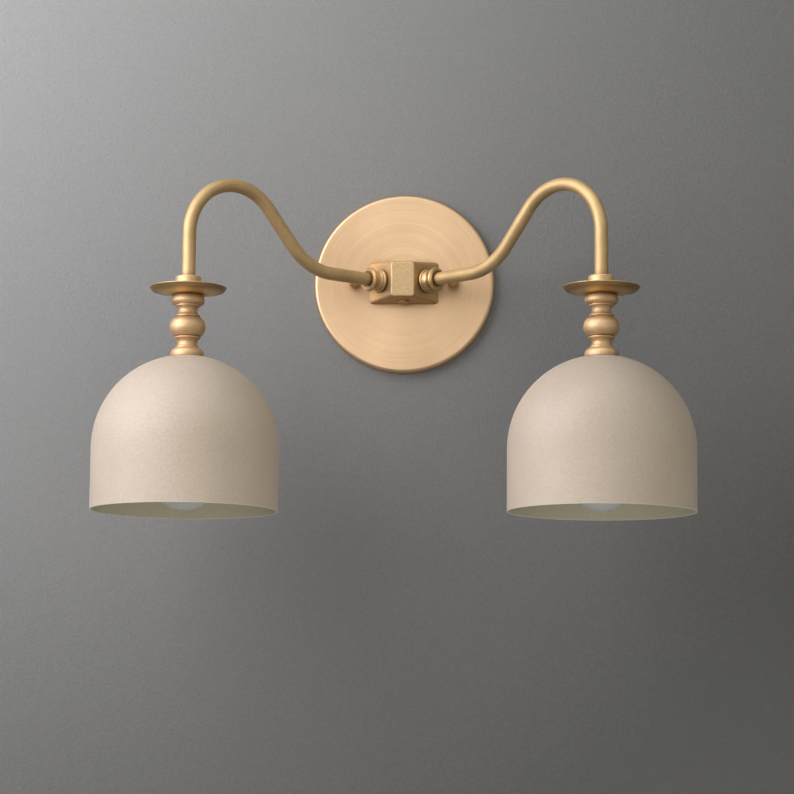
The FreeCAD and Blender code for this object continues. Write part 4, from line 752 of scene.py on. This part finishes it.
plain_sheet("studio_wall", [
    (-WALL_SIDE, WALL_Y, FLOOR_LEVEL), (WALL_SIDE, WALL_Y, FLOOR_LEVEL),
    (WALL_SIDE, WALL_Y, WALL_TOP), (-WALL_SIDE, WALL_Y, WALL_TOP),
], wall_paint)

floor_paint, floor_tree, floor_shader, _ = new_finish("floor_paint")
floor_shader.inputs["Base Color"].default_value = (0.72, 0.72, 0.72, 1)
floor_shader.inputs["Roughness"].default_value = 0.8
# the eye sees the floor pale, and its light on the sconce stays as it is
floor_shader.inputs["Emission Color"].default_value = (0.9, 0.9, 0.9, 1)
floor_looks = add(floor_tree, "ShaderNodeLightPath").outputs
floor_tree.links.new(between(floor_tree, floor_looks["Is Camera Ray"], 0, 0.42, 0, 1),
                     floor_shader.inputs["Emission Strength"])
plain_sheet("studio_floor", [
    (-FLOOR_SIDE, -FLOOR_SIDE, FLOOR_LEVEL), (FLOOR_SIDE, -FLOOR_SIDE, FLOOR_LEVEL),
    (FLOOR_SIDE, FLOOR_SIDE, FLOOR_LEVEL), (-FLOOR_SIDE, FLOOR_SIDE, FLOOR_LEVEL),
], floor_paint)


def soft_lamp(name, place, aim, size, power, tint=(1, 1, 1)):
    """A round soft lamp at 'place' that shines on 'aim'."""
    lamp = bpy.data.lights.new(name, "AREA")
    lamp.color = tint
    lamp.shape = "DISK"
    lamp.size = size
    lamp.energy = power
    stand = bpy.data.objects.new(name, lamp)
    stand.location = place
    stand.rotation_euler = (Vector(aim) - Vector(place)).to_track_quat("-Z", "Y").to_euler()
    bpy.context.scene.collection.objects.link(stand)
    return stand


soft_lamp("key_lamp", (-0.68, -0.56, 0.28), aim=(-0.05, -0.08, -0.05), size=0.98, power=7.4)
low_lamp = soft_lamp("low_lamp", (0.15, -1.10, -0.85), aim=(0, -0.1, -0.1), size=1.4, power=4.0,
                     tint=(1.0, 0.95, 0.78))
low_lamp.visible_glossy = False
soft_lamp("top_lamp", (-0.1, -0.75, 1.25), aim=(0, -0.05, 0), size=0.9, power=2.5)

# The air of the room: brighter towards the lamp in what the brass mirrors, a little olive from the
# right, where the photograph's shades turn olive, and plain and pale to the eye.

TO_LAMP, TO_RIGHT = (-0.76, -0.27, 0.59), (0.92, -0.38, 0)
AIR_LIGHT, AIR_SEEN = 0.34, 0.86
AIR_WHITE, AIR_OLIVE = (1.0, 1.0, 1.0), (0.93, 0.92, 0.76)

world = bpy.data.worlds.new("studio_air")
bpy.context.scene.world = world
world.use_nodes = True
air = world.node_tree
background = air.nodes["Background"]
rays = add(air, "ShaderNodeLightPath").outputs
seen = reckon(air, "ShaderNodeMath", "MAXIMUM", rays["Is Camera Ray"], rays["Is Glossy Ray"])
way = add(air, "ShaderNodeTexCoord").outputs["Generated"]
to_lamp = reckon(air, "ShaderNodeVectorMath", "DOT_PRODUCT", way, TO_LAMP, output="Value")
mirrored_room = between(air, to_lamp, 0.31, 1.15, -1, 1)
lit = add(air, "ShaderNodeMix", {"Factor": seen, "A": AIR_LIGHT, "B": mirrored_room}).outputs["Result"]
shown = add(air, "ShaderNodeMix", {"Factor": rays["Is Camera Ray"], "A": lit, "B": AIR_SEEN})
air.links.new(shown.outputs["Result"], background.inputs["Strength"])
to_right = reckon(air, "ShaderNodeVectorMath", "DOT_PRODUCT", way, TO_RIGHT, output="Value")
unseen = reckon(air, "ShaderNodeMath", "SUBTRACT", 1.0, rays["Is Camera Ray"])
olive = reckon(air, "ShaderNodeMath", "MULTIPLY", between(air, to_right, 0, 1, -0.2, 0.9), unseen)
air.links.new(blend(air, olive, AIR_WHITE, AIR_OLIVE), background.inputs["Color"])

# The camera: a long lens a little below the sconce and to its right, looking slightly up, as the
# photograph was taken.

PICTURE_PIXELS, FOCAL_PIXELS = 794, 2578.55
CAMERA_PLACE = (0.10158, -1.79372, -0.32384)
pitch, yaw, roll = math.radians(7.73), math.radians(3.39), math.radians(0.50)

lens = bpy.data.cameras.new("photo_camera")
lens.sensor_width = 36.0
lens.lens = FOCAL_PIXELS * lens.sensor_width / PICTURE_PIXELS
lens.clip_start = 0.05
camera = bpy.data.objects.new("photo_camera", lens)
camera.location = CAMERA_PLACE
forward = Vector((-math.sin(yaw) * math.cos(pitch), math.cos(yaw) * math.cos(pitch), math.sin(pitch)))
level_right = Vector((math.cos(yaw), math.sin(yaw), 0))
level_up = level_right.cross(forward)
right = level_right * math.cos(roll) + level_up * math.sin(roll)
top = level_up * math.cos(roll) - level_right * math.sin(roll)
camera.rotation_mode = "QUATERNION"
camera.rotation_quaternion = Matrix((right, top, -forward)).transposed().to_quaternion()
bpy.context.scene.collection.objects.link(camera)
bpy.context.scene.camera = camera
bpy.context.scene.view_settings.view_transform = "Standard"
